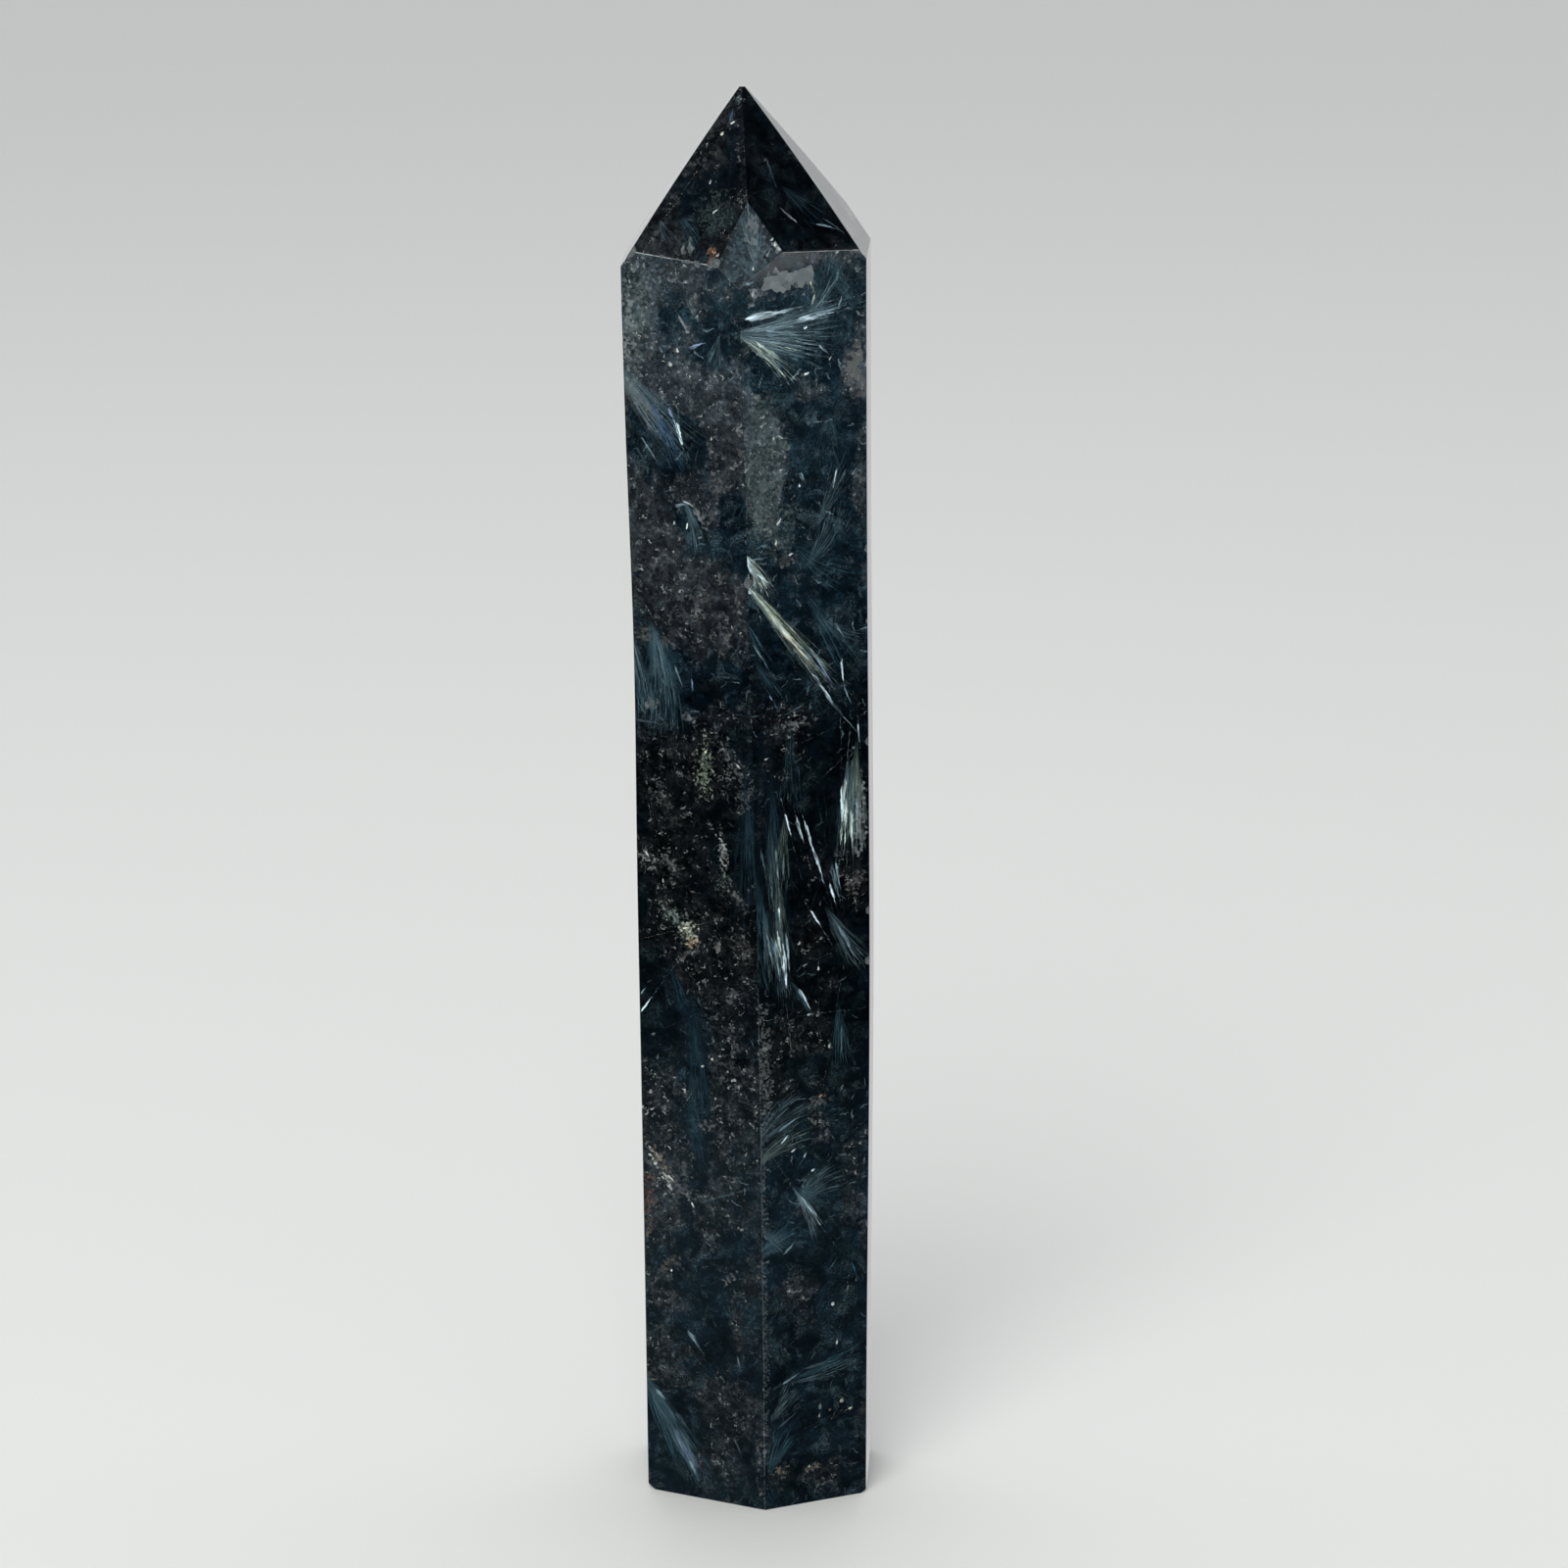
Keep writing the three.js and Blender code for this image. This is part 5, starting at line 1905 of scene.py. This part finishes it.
@dataclass
class StoneDress:
    """Sorts the stone's polygons to their faces and gives each stretch its material."""

    point: StonePoint
    finish: StoneFinish
    front_band: int = 2
    hidden_band: int = 15
    arris_turn: float = 4.0
    shoulder_rise: float = 0.1

    def dress(self) -> None:
        """Replaces the stone's plain slots by the finished materials."""
        mesh = self.point.stone.data
        looks = self._looks()
        labels = [
            Part.FRACTURE.value if polygon.material_index else self._label(polygon, looks)
            for polygon in mesh.polygons
        ]
        slots = sorted(set(labels))
        mesh.materials.clear()
        for label in slots:
            mesh.materials.append(self._material(label))
        for polygon, label in zip(mesh.polygons, labels):
            polygon.material_index = slots.index(label)

    def _looks(self) -> dict[str, Vector]:
        """Returns the way that each face of the stone looks, by its name."""
        looks = {f"column{k}": face.outward() for k, face in enumerate(self.point.faces)}
        looks |= {f"tip{k}": facet.facing() for k, facet in enumerate(self.point.tips)}
        return looks | {"head": self.point.head.facing(), Part.SAWN_BASE.value: -UP}

    def _label(self, polygon: bpy.types.MeshPolygon, looks: dict[str, Vector]) -> str:
        """Finds the stretch that a polygon lies on.

        Args:
            polygon: the polygon.
            looks: the way that each face looks.

        Returns:
            The stretch's name.
        """
        label, next_label = sorted(looks, key=lambda name: -looks[name].dot(polygon.normal))[:2]
        if looks[label].dot(polygon.normal) < math.cos(math.radians(self.arris_turn)):
            if {label, next_label} in ({"column0", "column5"}, {"tip0", "tip5"}):
                return Part.FRONT_ARRIS.value
            # Shoulder bevels get the painted highlight material.
            if {label[:3], next_label[:3]} == {"col", "tip"} and polygon.normal.z > self.shoulder_rise:
                return Part.SHOULDER_ARRIS.value
        if not label.startswith("column"):
            return label
        steps = self._steps(label)
        band = int(polygon.center.z / MM / self.point.station(1) + 1e-3) // steps
        return f"{label}_{min(band, self.point.bowed_steps // steps)}"

    def _steps(self, name: str) -> int:
        """Returns how many stations of a column face share a material."""
        return self.front_band if name in DRAWN_FACES else self.hidden_band

    def _material(self, label: str) -> bpy.types.Material:
        """Makes the material of a stretch.

        Args:
            label: the stretch's name.

        Returns:
            The material.
        """
        makers = {
            Part.FRACTURE.value: self.finish.fracture,
            Part.SAWN_BASE.value: self.finish.sawn_base,
            Part.SHOULDER_ARRIS.value: self.finish.shoulder_arris,
            Part.FRONT_ARRIS.value: self.finish.front_arris,
        }
        if label in makers:
            return makers[label]()
        if label == "head":
            return self.finish.face(label, self.point.head.azimuth, *DRAWN_FACES[label])
        if label.startswith("column"):
            return self._stretch(label)
        number = int(label[-1])
        strewn = ScatteredFace(-4.5, 4.5, 153, 163, sprays=3, blades=2, patches=3, seed=60 + number)
        drawing = DRAWN_FACES.get(label) or (strewn.grounds(), strewn.marks())
        return self.finish.face(label, self.point.tips[number].azimuth, *drawing)

    def _stretch(self, label: str) -> bpy.types.Material:
        """Makes the material of a stretch of a column face, from what reaches into it.

        Args:
            label: the stretch's name.

        Returns:
            The material.
        """
        name, band = label.split("_")
        number, band, steps = int(name[-1]), int(band), self._steps(name)
        face, station = self.point.faces[number], self.point.station
        low = station(band * steps)
        last = band == self.point.bowed_steps // steps
        high = self.point.blank if last else station((band + 1) * steps)
        if name in DRAWN_FACES:
            rows = ([row for row in part if row.touches(low, high)] for part in DRAWN_FACES[name])
            return self.finish.face(label, face.azimuth, *rows)
        ends = [self.point.corner_at(k, low).dot(face.across()) for k in (number, number + 1)]
        edges = (min(ends) + 1, max(ends) - 1)
        seed = 10 * number
        strewn = ScatteredFace(*edges, low, high, sprays=8, blades=3, patches=8, seed=seed + band)
        whole = ScatteredFace(-12, 12, 0, self.point.blank, sprays=10, blades=0, patches=0, seed=seed)
        return self.finish.face(label, face.azimuth, whole.grounds(), strewn.marks())


# ---------------------------------------------------------------- the studio


@dataclass(frozen=True)
class Camera:
    """The camera, in metres and degrees."""

    at: Spot = (0.011684, -0.351887, 0.198196)
    pitch: float = 17.12
    yaw: float = -1.327
    roll: float = -0.522
    lens: float = 72.0
    sensor: float = 36.0

    def build(self) -> bpy.types.Object:
        """Places the camera and makes it the scene's.

        Returns:
            The camera object.
        """
        pitch, yaw, roll = (math.radians(a) for a in (self.pitch, self.yaw, self.roll))
        away = Vector((math.sin(yaw), math.cos(yaw), 0))
        ahead = away * math.cos(pitch) - UP * math.sin(pitch)
        level = Vector((math.cos(yaw), -math.sin(yaw), 0))
        upright = level.cross(ahead)
        right = level * math.cos(roll) + upright * math.sin(roll)
        up = upright * math.cos(roll) - level * math.sin(roll)
        data = bpy.data.cameras.new("camera")
        data.lens = self.lens
        data.sensor_width = self.sensor
        data.sensor_fit = "AUTO"
        data.clip_start = 0.01
        camera = linked("camera", data)
        turn = Matrix((right, up, -ahead)).transposed().to_4x4()
        camera.matrix_world = Matrix.Translation(Vector(self.at)) @ turn
        bpy.context.scene.camera = camera
        return camera


@dataclass(frozen=True)
class Studio:
    """A plain pale floor under soft light. Sizes in metres."""

    floor_radius: float = 9.0
    floor_shade: float = 0.86
    sky: float = 0.85
    front_glow: tuple[Point, ...] = (
        (0.10, 0.36),
        (0.13, 0.17),
        (0.152, 0.04),
        (0.235, 0.04),
        (0.27, 0.02),
        (0.355, 0.02),
        (0.40, 0.17),
        (0.43, 0.2),
        (0.455, 0.13),
        (0.50, 0.13),
    )
    glow_tint: Spot = (0.5, 0.85, 1.0)
    right_share: float = 0.6
    front_sky: float = 1.45
    behind: float = 0.68
    flank: float = 0.1
    dusk: float = 0.34
    ceiling_gap: float = 0.02
    key_power: float = 10.0
    key_size: float = 0.9
    key_at: Spot = (-0.25, -0.8, 1.2)

    def build(self) -> None:
        """Lays the floor and hangs the lights."""
        self._floor()
        self._key()
        self._surroundings()
        bpy.context.scene.view_settings.view_transform = "Standard"

    def _floor(self) -> None:
        """Lays a round floor just under the stone."""
        disc = bmesh.new()
        bmesh.ops.create_circle(disc, cap_ends=True, segments=96, radius=self.floor_radius)
        mesh = bpy.data.meshes.new("floor")
        disc.to_mesh(mesh)
        disc.free()
        floor = linked("floor", mesh)
        floor.visible_glossy = False
        material = bpy.data.materials.new("floor")
        material.use_nodes = True
        shader = material.node_tree.nodes["Principled BSDF"]
        shade = self.floor_shade
        shader.inputs["Base Color"].default_value = (shade, shade * 1.01, shade * 0.985, 1)
        shader.inputs["Roughness"].default_value = 0.6
        mesh.materials.append(material)

    def _key(self) -> None:
        """Hangs one large soft lamp above, a little in front."""
        data = bpy.data.lights.new("key", "AREA")
        data.shape = "DISK"
        data.size = self.key_size
        data.energy = self.key_power
        lamp = linked("key", data)
        lamp.location = self.key_at
        lamp.rotation_euler = (-Vector(self.key_at)).to_track_quat("-Z", "Y").to_euler()
        lamp.visible_glossy = False

    def _surroundings(self) -> None:
        """Wraps the scene in soft light: pale all round, but dim low in front, for the polish to show."""
        world = bpy.data.worlds.new("studio")
        bpy.context.scene.world = world
        world.use_nodes = True
        world.node_tree.nodes.clear()
        g = Graph(world.node_tree)
        x, y, z = g.parts(g.add("TexCoord").outputs["Generated"])
        front = g.span(y, -0.35, 0.1, 1.0, 0.0)
        glow = g.add("ValToRGB", {0: g.times(z, -1.0)})
        stops = glow.color_ramp.elements
        while len(stops) < len(self.front_glow):
            stops.new(0.5)
        for stop, (depression, strength) in zip(stops, self.front_glow):
            stop.position = depression
            stop.color = (*(strength * part for part in self.glow_tint), 1)
        low = g.span(z, -0.1, -0.04, 1.0, 0.0)
        sky = (self.sky * 0.97, self.sky * 0.99, self.sky, 1)
        window = (self.front_sky * 0.97, self.front_sky * 0.99, self.front_sky, 1)
        around = g.blend(g.span(y, -0.5, -0.1, 1.0, 0.0), sky, window)
        flank = g.span(g.math("ABSOLUTE", x), 0.3, 0.45)
        beneath = g.blend(flank, (self.behind,) * 3 + (1,), (self.flank,) * 3 + (1,))
        paler = g.blend(g.span(z, -0.12, -0.02, 1.0, 0.0), around, beneath)
        dusk = g.times(g.span(z, 0.38, 0.48), g.span(y, -0.1, 0.15, 1.0, 0.0))
        dimmed = g.blend(dusk, paler, (self.dusk,) * 3 + (1,))
        gap = g.times(g.span(z, 0.65, 0.72), g.span(y, -0.1, 0.15, 1.0, 0.0))
        above = g.blend(gap, dimmed, (self.ceiling_gap,) * 3 + (1,))
        sided = g.grow(glow.outputs[0], g.span(x, -0.3, 0.3, 1.0, self.right_share))
        color = g.blend(g.times(front, low), above, sided)
        background = g.add("Background", {"Color": color, "Strength": 1.0})
        g.add("OutputWorld", {"Surface": background.outputs[0]})


def main() -> None:
    """Builds the stone and the studio in order, and reports each piece."""
    logging.basicConfig(level=logging.INFO, format="%(name)s: %(message)s")
    Camera().build()
    Studio().build()
    point = StonePoint()
    stone = point.build()
    StoneDress(point, StoneFinish(Polish())).dress()
    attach(stone, "root")
    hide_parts(NODE)
    mesh = stone.data
    log.info("%s: %d polygons, %d materials", stone.name, len(mesh.polygons), len(mesh.materials))


if __name__ == "__main__":
    main()
